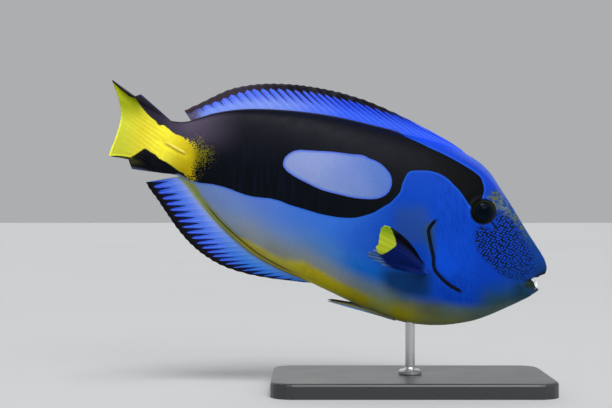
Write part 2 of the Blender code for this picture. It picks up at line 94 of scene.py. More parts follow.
PECTORAL_RAYS = [(0.0, 77.3, -3.3, 50.0), (0.12, 80.3, -3.1, 50.0), (0.22, 82.0, -4.8, 48.5),
                 (0.32, 81.7, -8.2, 46.5), (0.42, 81.0, -11.7, 44.0), (0.52, 82.5, -15.5, 41.0),
                 (0.62, 84.3, -17.3, 37.5), (0.7, 82.1, -18.8, 34.0), (0.78, 77.9, -19.8, 30.5),
                 (0.86, 73.2, -20.6, 27.0), (0.93, 67.3, -20.4, 23.5), (1.0, 61.1, -19.9, 20.0)]
PECTORAL_ROOT = ((55.9, -15.3), (53.6, -19.2))
PELVIC_ROOT = ((58.5, 2.6), (67.5, 2.0))
PELVIC_TIP = (93.4, -44.0, 6.4)


def smooth(knots):
    """Monotone cubic curve through (x, y) stations."""
    x, y = np.array(knots, float).T
    step = np.diff(x)
    slope = np.diff(y) / step
    m = np.zeros(len(x))
    for i in range(1, len(x) - 1):
        if slope[i - 1] * slope[i] > 0:
            w1, w2 = 2 * step[i] + step[i - 1], step[i] + 2 * step[i - 1]
            m[i] = (w1 + w2) / (w1 / slope[i - 1] + w2 / slope[i])
    m[0], m[-1] = slope[0], slope[-1]

    def value(at):
        at = np.asarray(at, float)
        k = np.clip(np.searchsorted(x, at) - 1, 0, len(x) - 2)
        t = np.clip((at - x[k]) / step[k], 0, 1)
        return ((1 + 2 * t) * (1 - t) ** 2 * y[k] + t * (1 - t) ** 2 * step[k] * m[k]
                + t * t * (3 - 2 * t) * y[k + 1] + t * t * (t - 1) * step[k] * m[k + 1])

    return value


top, bottom, half_width, broadest = (smooth(k) for k in (TOP, BOTTOM, HALF_WIDTH, BROADEST_H))
front_a = smooth([(v, a) for v, a, _ in MUZZLE_FRONT])
front_h = smooth([(v, h) for v, _, h in MUZZLE_FRONT])
dorsal_edge, dorsal_lean = smooth(DORSAL_EDGE), smooth(DORSAL_LEAN)
anal_edge, anal_lean = smooth(ANAL_EDGE), smooth(ANAL_LEAN)


def ease(x):
    x = np.clip(x, 0, 1)
    return x * x * (3 - 2 * x)


def bell(x, width):
    return np.exp(-(np.asarray(x) / width) ** 2)


def section_h(a, v):
    s = np.sin(np.asarray(v) * math.pi / 2)
    c = broadest(a)
    return np.where(s > 0, c + (top(a) - c) * s, c + (c - bottom(a)) * s)


def flank(a, v):
    cosine = np.cos(np.asarray(v) * math.pi / 2)
    power = np.where(np.asarray(v) > 0, 1.04, 1.08)
    w = half_width(a) * np.maximum(cosine, 0) ** power + EDGE_HALF * (1 - cosine)
    return np.stack([np.broadcast_to(a, np.shape(w)) + 0.0 * w, section_h(a, v), w], -1)


def muzzle(d, v):
    v = np.asarray(v, float)
    u = (d / MUZZLE_END) ** 0.8
    aim_a, aim_h = MUZZLE_END, section_h(MUZZLE_END, v)
    t = (v + 1) / 2
    ta, ba = MUZZLE_END * u ** 1.25, 0.5 + (MUZZLE_END - 0.5) * u ** 1.25
    up = np.array([ta, float(top(ta))])
    low = np.array([ba, float(bottom(ba))])
    flat_a = (1 - u) * front_a(v) + u * aim_a + (1 - t) * low[0] + t * up[0]
    flat_h = (1 - u) * front_h(v) + u * aim_h + (1 - t) * low[1] + t * up[1]
    for tt, vv in (((1 - t), -1.0), (t, 1.0)):
        flat_a = flat_a - tt * ((1 - u) * float(front_a(vv)) + u * aim_a)
        flat_h = flat_h - tt * ((1 - u) * float(front_h(vv)) + u * float(section_h(MUZZLE_END, vv)))
    cosine = np.maximum(np.cos(v * math.pi / 2), 0)
    power = 0.4 + (np.where(v > 0, 1.04, 1.08) - 0.4) * u
    w = 7.2 * (d / MUZZLE_END) ** 0.45 * cosine ** power + EDGE_HALF * min(1, d / 2) * (1 - cosine)
    return np.stack([flat_a, flat_h, w], -1)


def bend(p):
    p = np.asarray(p, float)
    a, h, w = p[..., 0], p[..., 1], p[..., 2]
    past = np.maximum(a - BEND_START, 0)
    angle = np.arctan(BEND_RATE * past)
    return np.stack([a - w * np.sin(angle), h, BEND_RATE * past ** 2 / 2 + w * np.cos(angle)], -1)


def world(p):
    """Fish frame (mm) to world frame (m)."""
    p = np.asarray(p, float)
    c, s = math.cos(math.radians(NOSE_DOWN)), math.sin(math.radians(NOSE_DOWN))
    a, h, w = p[..., 0], p[..., 1], p[..., 2]
    return np.stack([SNOUT_X - a * c + h * s, -w, SNOUT_Z + a * s + h * c], -1) * MM


# ------------------------------------------------------------------ markings, drawn on a plain side elevation
# The side elevation is measured in units of 0.47 mm, x to the right and y down, as an eye 0.68 m in front of the right flank sees it.
UNIT = 0.47
EYE_DISTANCE = 680.0
VIEW_X, VIEW_Y, VIEW_Z = 306.0, 204.0, 86.95     # the point looked at, in elevation units, and its height in mm
VIEW_WORLD_X = -48.9


def elevation(points):
    """World metres to (x, y) on the side elevation."""
    p = np.asarray(points) / MM
    k = EYE_DISTANCE / (EYE_DISTANCE + p[..., 1])
    return np.stack([VIEW_X + (p[..., 0] - VIEW_WORLD_X) * k / UNIT, VIEW_Y - (p[..., 2] - VIEW_Z) * k / UNIT], -1)


def rounded(points, closed=True, times=5):
    """A smooth curve through control points."""
    p = np.array(points, float)
    n = len(p)
    out = []
    for i in range(n if closed else n - 1):
        if closed:
            p0, p1, p2, p3 = p[i - 1], p[i], p[(i + 1) % n], p[(i + 2) % n]
        else:
            p0, p1, p2, p3 = p[max(i - 1, 0)], p[i], p[i + 1], p[min(i + 2, n - 1)]
        for k in range(times):
            t = k / times
            out.append(0.5 * (2 * p1 + (p2 - p0) * t + (2 * p0 - 5 * p1 + 4 * p2 - p3) * t * t
                              + (3 * p1 - p0 - 3 * p2 + p3) * t ** 3))
    if not closed:
        out.append(p[-1])
    return np.array(out)


def line_distance(q, line, closed):
    """Distance of each point from a polyline, in mm, the nearest segment's side (+ left of its run) and the share of the way along."""
    a, b = line, np.roll(line, -1, axis=0)
    if not closed:
        a, b = line[:-1], line[1:]
    best = np.full(len(q), 1e9)
    side = np.zeros(len(q))
    along = np.zeros(len(q))
    for i, (s, e) in enumerate(zip(a, b)):
        d = e - s
        length = d @ d + 1e-12
        t = np.clip(((q - s) @ d) / length, 0, 1)
        gap = q - (s + t[:, None] * d)
        r = np.hypot(gap[:, 0], gap[:, 1])
        near = r < best
        best = np.where(near, r, best)
        side = np.where(near, np.sign(d[0] * gap[:, 1] - d[1] * gap[:, 0]), side)
        along = np.where(near, (i + t) / len(a), along)
    return best * UNIT, side, along


def inside_distance(q, outline):
    """Signed distance from a closed outline in mm, positive inside."""
    line = rounded(outline)
    r, _, _ = line_distance(q, line, True)
    a, b = line, np.roll(line, -1, axis=0)
    odd = np.zeros(len(q), bool)
    for s, e in zip(a, b):
        if s[1] == e[1]:
            continue
        cross = (s[1] > q[:, 1]) != (e[1] > q[:, 1])
        odd ^= cross & (q[:, 0] < (e[0] - s[0]) * (q[:, 1] - s[1]) / (e[1] - s[1]) + s[0])
    return np.where(odd, r, -r)


BAND = [(480, 203), (483, 195), (484, 189), (483, 184), (481, 178), (477, 174), (470, 169), (460, 163), (450, 157.5),
        (440, 152.5), (430, 148), (420, 143), (410, 138.5), (400, 133), (380, 125), (360, 119), (330, 111),
        (305, 108), (275, 105), (245, 105), (220, 108), (200, 113), (185, 116), (170, 112), (140, 86), (118, 70),
        (88, 60), (80, 110), (90, 175), (120, 186), (150, 177), (168, 175.5), (178, 174), (184, 177), (189, 180),
        (195, 181.5), (200, 183), (210, 184), (220, 186), (230, 189), (240, 193), (250, 196), (260, 197.5), (270, 198.5),
        (280, 201), (290, 205), (300, 208), (310, 211), (320, 214), (330, 216), (340, 217.5), (350, 218),
        (357, 217.5), (365, 215.5), (375, 212), (383, 207), (390, 203), (395, 198), (400, 192), (402, 185),
        (404, 180), (407, 174), (411, 171), (420, 170.5), (430, 171), (440, 174), (448, 179), (453, 184),
        (458, 189), (462, 194), (466, 200), (469, 205), (473, 209), (478, 210)]
OVAL = [(283, 164), (285, 157.5), (290, 153), (296, 150.5), (303, 150), (320, 151), (335, 152), (350, 154),
        (362, 155), (370, 158.5), (378, 162), (385, 167.5), (390, 174), (392, 181), (391, 187), (388, 193),
        (382, 197), (375, 199), (365, 199), (355, 198), (345, 196), (335, 193.5), (325, 191), (315, 187),
        (305, 182), (297, 178), (290, 173.5), (285, 169)]
WEDGE = [(112, 81.5), (120, 88.5), (130, 96.5), (136, 98.5), (140, 105), (145, 111), (150, 116.5), (155, 120.5),
         (159, 125), (164, 125.5), (170, 130), (175, 134), (182, 136.5), (190, 141), (199, 143), (206, 148),
         (209, 155), (205, 161), (199, 165), (196, 169), (195, 174), (196, 179), (192, 181), (187, 178),
         (182, 173), (178, 170.5), (172, 166), (165, 161.5), (160, 159), (155, 154.5), (150, 151.5), (145, 148.5),
         (140, 151.5), (133, 156), (128, 157.8), (120, 155.6), (112, 156.5), (100, 160), (92, 150), (104, 130),
         (108, 110), (104, 90), (98, 74), (105, 74)]
CHEEK = [(476, 228), (475, 240), (477, 248), (482, 256), (490, 264), (498, 272), (505, 277), (515, 280), (524, 281),
         (531, 276), (535, 268), (534, 258), (530, 248), (525, 238), (519, 228), (511, 219), (503, 213), (497, 213),
         (494.5, 218), (497, 224), (491, 229), (484, 226.5)]
GILL = [(438, 218), (433, 223), (430, 227), (428.5, 231), (429.5, 238), (431, 246), (432.5, 253), (433.5, 259),
        (433.5, 265), (435.5, 271), (440, 276.5), (445, 281.5), (450, 285.5), (457, 289.5), (464, 293.5)]
# upper edge of the yellow along belly and anal fin: (x, y)
BELLY = [(176, 166), (182, 171), (190, 178), (195, 185.5), (200, 194), (210, 207.5), (220, 218.5), (230, 228), (240, 235.8),
         (250, 242), (260, 247.8), (270, 253), (280, 257.5), (290, 260), (300, 261.5), (310, 264.5), (320, 270), (330, 276),
         (340, 282), (350, 287), (360, 291.5), (370, 295), (380, 298.5), (390, 302), (400, 305), (410, 308), (425, 311.5),
         (440, 313), (460, 314), (480, 315), (500, 311)]


# ------------------------------------------------------------------ mesh helpers
def link(obj):
    bpy.context.scene.collection.objects.link(obj)
    return obj


def mesh_object(name, points, faces, mats, attributes=None, indices=None, flat=False):
    """A mesh from points (m) and quads or triangles, with float attributes on its points."""
    mesh = bpy.data.meshes.new(name)
    mesh.from_pydata([tuple(p) for p in points], [], [tuple(f) for f in faces])
    mesh.validate()
    for m in mats:
        mesh.materials.append(m)
    for key, values in (attributes or {}).items():
        layer = mesh.attributes.new(key, "FLOAT", "POINT")
        layer.data.foreach_set("value", np.asarray(values, np.float32))
    if indices is not None:
        mesh.polygons.foreach_set("material_index", np.asarray(indices, np.int32))
    if not flat:
        mesh.shade_smooth()
    mesh.update()
    return link(bpy.data.objects.new(name, mesh))


def strip(faces, *corners):
    """Adds a face, leaving out corners that are one point."""
    seen = []
    for c in corners:
        if c not in seen:
            seen.append(c)
    if len(seen) > 2:
        faces.append(seen)


def grow_normals(points, faces):
    n = np.zeros_like(points)
    quads = np.array([f if len(f) == 4 else [*f, f[2]] for f in faces])
    p = points[quads]
    fn = np.cross(p[:, 2] - p[:, 0], p[:, 3] - p[:, 1])
    flat = np.array([len(f) == 3 for f in faces])
    fn[flat] = np.cross(p[flat, 1] - p[flat, 0], p[flat, 2] - p[flat, 0])
    for k in range(4):
        np.add.at(n, quads[:, k], fn)
    return n / (np.linalg.norm(n, axis=1, keepdims=True) + 1e-20)


# ------------------------------------------------------------------ the skin: one closed sheet over body, dorsal, anal and tail fins
FIN_ROWS = 12
stations_muzzle = 12.0 * (np.linspace(0, 1, 34)[:-1] ** 1.9)
stations = [12.0]
while stations[-1] < STALK_END:
    here = stations[-1]
    stations.append(here + (0.42 if 24 < here < 62 else 0.5 if here < 80 else 0.62))
stations = np.array(stations)
stations = 12.0 + (stations - 12.0) * (STALK_END - 12.0) / (stations[-1] - 12.0)

# rows: closer over the face than towards back and belly
fine = np.linspace(-1, 1, 4001)
at = flank(70.0, fine)
run = np.concatenate([[0], np.cumsum(np.hypot(np.diff(at[:, 1]), np.diff(at[:, 2])))])
middle = (fine[1:] + fine[:-1]) / 2
density = 0.85 + 0.65 * bell(middle - 0.3, 0.28) + 0.3 * bell(middle + 0.3, 0.45)
pace = np.concatenate([[0], np.cumsum(np.diff(run) * density)])
ROWS = 88
V = np.interp(np.linspace(0, pace[-1], ROWS + 1), pace, fine)
V[0], V[-1] = -1.0, 1.0

body = np.array([muzzle(d, V) for d in stations_muzzle] + [flank(a, V) for a in stations])
n_station, n_row = body.shape[:2]
station_of = np.concatenate([stations_muzzle, stations])


def fin_sheet(base, edge, lean, line, up, rays):
    """Rows of a median fin from base to edge over the stations it stands on: middle points, half thickness, ray count and share."""
    on = (station_of >= base[0]) & (station_of <= base[1]) & (np.arange(n_station) >= len(stations_muzzle))
    b = station_of[on]
    out = lean(b)
    ray = rays * (b - base[0]) / (base[1] - base[0])
    share = np.linspace(0, 1, FIN_ROWS + 1)[1:]
    notch = 0.5 - 0.5 * np.cos(2 * math.pi * ray)
    root = np.stack([b, line(b)], -1)
    tip = np.stack([out, edge(out) - up * (0.1 + 0.3 * notch * ease((b - base[0]) / 18))], -1)
    flat = root[:, None] + share[None, :, None] * (tip - root)[:, None]
    floor = line(flat[..., 0]) + up * 0.04
    flat[..., 1] = np.where(flat[..., 0] < STALK_END, up * np.maximum(up * flat[..., 1], up * floor), flat[..., 1])
    ridge = np.cos(2 * math.pi * ray)[:, None]
    half = 0.17 + (0.5 - 0.17) * (1 - share[None]) ** 2.2 + 0.075 * ridge * (1 - 0.45 * share[None]) * ease(share[None] * 5)
    # the free edge waves a little from side to side
    wave = 0.35 * share[None] ** 1.6 * np.sin(b / 9.5 + 0.6)[:, None] * ease((b - base[0]) / 25)[:, None]
    return on, np.concatenate([flat, wave[..., None]], -1), half, np.broadcast_to(ray[:, None], half.shape), np.broadcast_to(share[None], half.shape)


DORSAL_RAYS, ANAL_RAYS = 29, 23
dorsal = fin_sheet(DORSAL_BASE, dorsal_edge, dorsal_lean, top, 1, DORSAL_RAYS)
anal = fin_sheet(ANAL_BASE, anal_edge, anal_lean, bottom, -1, ANAL_RAYS)

points, part, ray_at, share_at, flank_v, station_a = [], [], [], [], [], []


def add(p, kind, ray, share, v, a):
    points.append(p)
    part.append(kind)
    ray_at.append(ray)
    share_at.append(share)
    flank_v.append(v)
    station_a.append(a)
    return len(points) - 1


# One ring a station: up the right side from the anal fin's edge to the dorsal fin's edge, then down the left.
rings = []
d_count, a_count = 0, 0
for i in range(n_station):
    right, left = [], []
    sides = ((right, 1), (left, -1))
    has_anal, has_dorsal = anal[0][i], dorsal[0][i]
    for ring, sign in sides:
        if has_anal:
            for k in range(FIN_ROWS - 1, -1, -1):
                mid, half = anal[1][a_count][k], anal[2][a_count][k]
                ring.append(add(bend(mid + np.array([0, 0, sign * half])), 2, anal[3][a_count][k], anal[4][a_count][k], -1, station_of[i]))
        row = bend(body[i] * np.array([1, 1, sign]))
        if i == 0 and sign < 0:
            ring.extend(right)
            continue
        base_ids = [add(row[j], 0, 0, 0, V[j], station_of[i]) for j in range(n_row)]
        if not has_anal:
            ring.extend([base_ids[0]] * FIN_ROWS)
        ring.extend(base_ids)
        if has_dorsal:
            for k in range(FIN_ROWS):
                mid, half = dorsal[1][d_count][k], dorsal[2][d_count][k]
                ring.append(add(bend(mid + np.array([0, 0, sign * half])), 1, dorsal[3][d_count][k], dorsal[4][d_count][k], 1, station_of[i]))
        else:
            ring.extend([base_ids[-1]] * FIN_ROWS)
    rings.append((right, left))
    a_count += has_anal
    d_count += has_dorsal

# the tail fin goes on from the last ring, each row of the flank running out along a ray
TAIL_ROWS = 56
ray_v = np.array([r[0] for r in CAUDAL_RAYS])[::-1]
ends = np.array([r[1:] for r in CAUDAL_RAYS])[::-1]
end = np.stack([smooth(list(zip(ray_v, ends[:, k])))(V) for k in range(3)], -1)
root_flat = np.stack([np.full(n_row, STALK_END), section_h(STALK_END, V), 0 * V], -1)
root = bend(root_flat)
slope = BEND_RATE * (STALK_END - BEND_START)
turn = math.atan(slope)
root_normal = np.array([-math.sin(turn), 0.0, math.cos(turn)])
share = np.linspace(0, 1, TAIL_ROWS + 1)
tail_ray = 17 * (V + 1) / 2
notch = 0.5 - 0.5 * np.cos(2 * math.pi * tail_ray)
reach = 1 - 0.007 * notch
delta = (end - root) * reach[:, None]
lead = np.clip(slope * np.abs(delta[:, 0]) / np.maximum(delta[:, 2], 1), 0.1, 0.6)
mid = np.empty((TAIL_ROWS + 1, n_row, 3))
for k, s in enumerate(share):
    mid[k, :, 0] = root[:, 0] + s * delta[:, 0]
    mid[k, :, 1] = root[:, 1] + s * delta[:, 1] + 9.2 * s * (1 - s) * bell(V + 0.75, 0.12)
    mid[k, :, 2] = root[:, 2] + delta[:, 2] * (lead * s + (1 - lead) * s * s)
du, dv = np.gradient(mid, axis=0), np.gradient(mid, axis=1)
normal = np.cross(dv, du)
normal /= np.linalg.norm(normal, axis=-1, keepdims=True) + 1e-12
normal *= np.sign(normal @ root_normal)[..., None]
blend_in = ease(share / 0.16)[:, None, None]
normal = root_normal * (1 - blend_in) + normal * blend_in
normal /= np.linalg.norm(normal, axis=-1, keepdims=True)
stalk_half = body[-1][:, 2]
ridge = np.cos(2 * math.pi * tail_ray)[None]
fall = (1 - share)[:, None]
half = (stalk_half[None] * fall ** 3.4 * (1 - 0.25 * ease((1 - fall) * 4)) + 0.19 * (1 - fall ** 3.4)
        + 0.085 * ridge * ease((1 - fall) * 4) * (0.4 + 0.6 * fall))
for k in range(1, TAIL_ROWS + 1):
    right, left = [], []
    for ring, sign in ((right, 1), (left, -1)):
        at = mid[k] + normal[k] * half[k][:, None] * sign
        ids = [add(at[j], 3, tail_ray[j], share[k], V[j], STALK_END + 20 * share[k]) for j in range(n_row)]
        ring.extend([ids[0]] * FIN_ROWS + ids + [ids[-1]] * FIN_ROWS)
    rings.append((right, left))

points = np.array(points)
part, ray_at, share_at, flank_v, station_a = (np.array(x, float) for x in (part, ray_at, share_at, flank_v, station_a))
faces = []
for (r0, l0), (r1, l1) in zip(rings, rings[1:]):
    loop0, loop1 = r0 + l0[::-1], r1 + l1[::-1]
    count = len(loop0)
    for i in range(count):
        j = (i + 1) % count
        strip(faces, loop0[i], loop0[j], loop1[j], loop1[i])
right, left = rings[-1]
for i in range(len(right) - 1):
    strip(faces, right[i], right[i + 1], left[i + 1], left[i])

# ------------------------------------------------------------------ finer forms of head and body, as moves along the skin's normal
xyz = world(points)
normals = grow_normals(xyz, faces)
mirror = xyz * np.array([1, 1, 1.0])
mirror[:, 1] = -np.abs(xyz[:, 1])
# the left side takes its markings from the same spot on the right
flip = points.copy()
on_body = part == 0
side_sign = np.ones(len(points))
for r, l in rings:
    side_sign[l] = -1
side_sign[rings[0][0]] = 1
twin = np.arange(len(points))
for r, l in rings:
    twin[l] = r
view = elevation(xyz)[twin]
body_a, body_h = points[twin][:, 0], points[twin][:, 1]

move = np.zeros(len(points))
gill_r, gill_side, gill_along = line_distance(view, rounded(GILL, closed=False), False)
near_body = on_body.astype(float)
# gill cover: a lifted edge that drops to a groove behind it
ahead = np.where(gill_side > 0, gill_r, -gill_r)     # positive towards the head once the run's side is known
fade = ease(gill_along / 0.12) * ease((1 - gill_along) / 0.15)
lift = np.where(ahead > 0, 0.55 * np.exp(-ahead / 3.0), -0.55 * bell(-ahead - 0.35, 0.6) - 0.15 * np.exp(ahead / 1.6))
move += near_body * fade * lift
# second, soft ridge of the cheek plate
PREGILL = rounded([(452, 226), (448, 240), (449, 252), (455, 263), (466, 272), (480, 279), (494, 283)], closed=False)
pre_r, pre_side, pre_along = line_distance(view, PREGILL, False)
move += near_body * -0.16 * bell(pre_r, 0.9) * ease(pre_along / 0.2) * ease((1 - pre_along) / 0.2)
# groove ahead of the eye and the nostrils
for line, depth, width in (([(492, 224), (494.5, 227), (498, 230)], 0.5, 0.55), ([(501, 213), (502.5, 214.5)], 0.55, 0.5),
                           ([(497.5, 216.5), (498.5, 217.5)], 0.35, 0.4)):
    r, _, _ = line_distance(view, np.array(line, float), False)
    move -= near_body * depth * bell(r, width)
# corner of the mouth, and the lips
corner, _, corner_along = line_distance(view, np.array([(536.5, 278.6), (531, 280.2), (526, 281.5), (523.5, 282.5)]), False)
move -= near_body * 0.75 * bell(corner, 0.5) * (1 - 0.75 * corner_along)
move += near_body * 0.22 * bell(corner - 1.15, 0.55) * (1 - 0.6 * corner_along) * ease((10 - body_a) / 4)
fold, _, _ = line_distance(view, np.array([(522, 275), (521, 279), (523, 284), (527, 289)], float), False)
move -= near_body * 0.3 * bell(fold, 0.6)
in_muzzle = (station_a < MUZZLE_END) & on_body
lip_d = station_a
upper_lip = in_muzzle * ease((flank_v - 0.1) / 0.15) * ease((1.0 - flank_v) / 0.12)
lower_lip = in_muzzle * ease((-0.28 - flank_v) / 0.12) * ease((flank_v + 1.0) / 0.1)
for mask in (upper_lip, lower_lip):
    move += mask * (0.24 * bell(lip_d - 0.5, 0.55) - 0.3 * bell(lip_d - 2.1, 0.5))
# eye socket: the skin dips under the eyeball, with a low rim round it
eye_px = elevation(world(bend(np.array([EYE_A, EYE_H, EYE_W + 4.5]))))
eye_r = np.hypot(*(view - eye_px).T) * UNIT
move += near_body * (0.42 * bell(eye_r - 6.4, 0.9) - 4.2 * (1 - ease((eye_r - 4.0) / 1.6)))
root_px = elevation(world(np.array([54.8, -17.2, 14.0])))
move += near_body * 0.7 * bell(np.hypot(*(view - root_px).T) * UNIT, 3.2)
notch_r, _, _ = line_distance(view, np.array([(491, 221.5), (494, 224.5), (497.5, 229)], float), False)
# a shallow trough under the brow and soft swells of muscle
move += near_body * 0.35 * bell(eye_r - 10.5, 3.0) * ease((body_a - 30) / 10) * 0.5
base_line = np.where(body_h > 0, top(np.clip(body_a, 0, 188)) - body_h, body_h - bottom(np.clip(body_a, 0, 188)))
move -= near_body * 0.22 * bell(base_line - 0.9, 0.7) * ease((body_a - 50) / 10) * ease((180 - body_a) / 10)
blocks = np.sin(body_a / 3.1 + 2.4 * np.abs(body_h - 2) / 12.0)
move += near_body * 0.045 * blocks * ease((body_a - 62) / 15) * ease((182 - body_a) / 20) * ease(base_line / 8)
# groove in which the tail spine lies
spine_r, _, _ = line_distance(view, np.array([(158, 140), (187, 154.5)], float), False)
move -= (part != 1) * (part != 2) * 0.35 * bell(spine_r, 1.5) * (station_a > 170)
move -= near_body * 0.05 * ease((station_a - 3) / 4)      # the skin lies under the scales
xyz = xyz + normals * (move * MM)[:, None]

# ------------------------------------------------------------------ markings on the points of the skin
band = inside_distance(view, BAND)
oval = inside_distance(view, OVAL)
wedge = inside_distance(view, WEDGE)
cheek = inside_distance(view, CHEEK)
belly_curve = smooth(BELLY)
belly = (view[:, 1] - belly_curve(np.clip(view[:, 0], 176, 500))) * UNIT
fin_band = band.copy()
for pair in rings[:n_station]:
    for ring in pair:
        fin_band[ring[FIN_ROWS + n_row:]] = band[ring[FIN_ROWS + n_row - 1]]
        fin_band[ring[:FIN_ROWS]] = band[ring[FIN_ROWS]]
# the wedge's lower corner on the tail fin follows the ray that it ends on
below_ray = (flank_v + 0.775) * 42.0
wedge = np.where((part == 3) & (share_at > 0.62), np.minimum(wedge, below_ray), wedge)
ATTRIBUTES = {
    "band": np.where(part == 3, 20.0, fin_band), "plate_edge": np.zeros(len(points)),
    "back": np.where(on_body, np.clip(top(np.clip(body_a, 0, 188)) - body_h, 0, 60), 0.0),
    "oval": oval, "wedge": wedge, "cheek": cheek, "belly": belly,
    "gill": gill_r, "gill_along": gill_along, "eye": eye_r, "x": view[:, 0], "y": view[:, 1],
    "dorsal": (part == 1) * 1.0, "anal": (part == 2) * 1.0, "caudal": (part == 3) * 1.0,
    "ray": ray_at, "out": share_at,
    "top_gap": np.where(on_body, top(np.clip(body_a, 0, 188)) - body_h, 50.0), "tail_edge": (1 - np.abs(flank_v)) * 14.0, "notch": notch_r, "lip": np.clip(upper_lip + lower_lip, 0, 1) * bell(lip_d, 2.2),
    "mouth": in_muzzle * bell(flank_v + 0.12, 0.2) * (1 - ease((lip_d - 0.2) / 3.2)) + near_body * bell(corner, 0.6) * (1 - corner_along)
    + in_muzzle * ease(flank_v / 0.1) * ease((0.8 - flank_v) / 0.12) * (1 - ease((lip_d - 0.1) / 0.7)),
    "keel": np.where(on_body, np.clip(body_h - bottom(np.clip(body_a, 0, 188)), 0, 60), 60.0),
}


# ------------------------------------------------------------------ materials
class Nodes:
    """Short names for shader nodes."""

    def __init__(self, name):
        self.mat = bpy.data.materials.new(name)
        self.mat.use_nodes = True
        self.tree = self.mat.node_tree
        self.shader = self.tree.nodes["Principled BSDF"]

    def new(self, kind, **values):
        node = self.tree.nodes.new(kind)
        for key, value in values.items():
            setattr(node, key, value)
        return node

    def to(self, socket, value):
        if isinstance(value, bpy.types.NodeSocket):
            self.tree.links.new(value, socket)
        elif isinstance(value, (tuple, list)) and len(value) == 3 and socket.type == "RGBA":
            socket.default_value = (*value, 1.0)
        else:
            socket.default_value = value

    def attr(self, name):
        return self.new("ShaderNodeAttribute", attribute_name=name).outputs["Fac"]

    def math(self, how, a, b=0.0, c=0.0, clamp=False):
        node = self.new("ShaderNodeMath", operation=how, use_clamp=clamp)
        for socket, value in zip(node.inputs, (a, b, c)):
            self.to(socket, value)
        return node.outputs[0]

    def step(self, value, low, high, out_low=0.0, out_high=1.0, how="SMOOTHSTEP"):
        node = self.new("ShaderNodeMapRange", interpolation_type=how)
        for socket, v in zip((node.inputs["Value"], node.inputs["From Min"], node.inputs["From Max"], node.inputs["To Min"], node.inputs["To Max"]),
                             (value, low, high, out_low, out_high)):
            self.to(socket, v)
        return node.outputs["Result"]

    def mix(self, factor, a, b, how="MIX"):
        node = self.new("ShaderNodeMix", data_type="RGBA", blend_type=how)
        self.to(node.inputs[0], factor)
        self.to(node.inputs[6], a)
        self.to(node.inputs[7], b)
        return node.outputs[2]

    def place(self):
        return self.new("ShaderNodeTexCoord").outputs["Object"]

    def noise(self, scale, detail=3.0, rough=0.5, where=None, out=0):
        node = self.new("ShaderNodeTexNoise")
        self.to(node.inputs["Vector"], where if where is not None else self.place())
        node.inputs["Scale"].default_value = scale
        node.inputs["Detail"].default_value = detail
        node.inputs["Roughness"].default_value = rough
        return node.outputs[out]

    def cells(self, scale, feature="F1", where=None, out="Distance", randomness=1.0):
        node = self.new("ShaderNodeTexVoronoi", feature=feature)
        self.to(node.inputs["Vector"], where if where is not None else self.place())
        node.inputs["Scale"].default_value = scale
        node.inputs["Randomness"].default_value = randomness
        return node.outputs[out]

    def bump(self, height, distance, strength=1.0, below=None):
        node = self.new("ShaderNodeBump")
        node.inputs["Strength"].default_value = strength
        node.inputs["Distance"].default_value = distance
        self.to(node.inputs["Height"], height)
        if below is not None:
            self.tree.links.new(below, node.inputs["Normal"])
        return node.outputs[0]


def hex_linear(code):
    value = [int(code[i:i + 2], 16) / 255 for i in (1, 3, 5)]
    return tuple(c / 12.92 if c <= 0.04045 else ((c + 0.055) / 1.055) ** 2.4 for c in value)


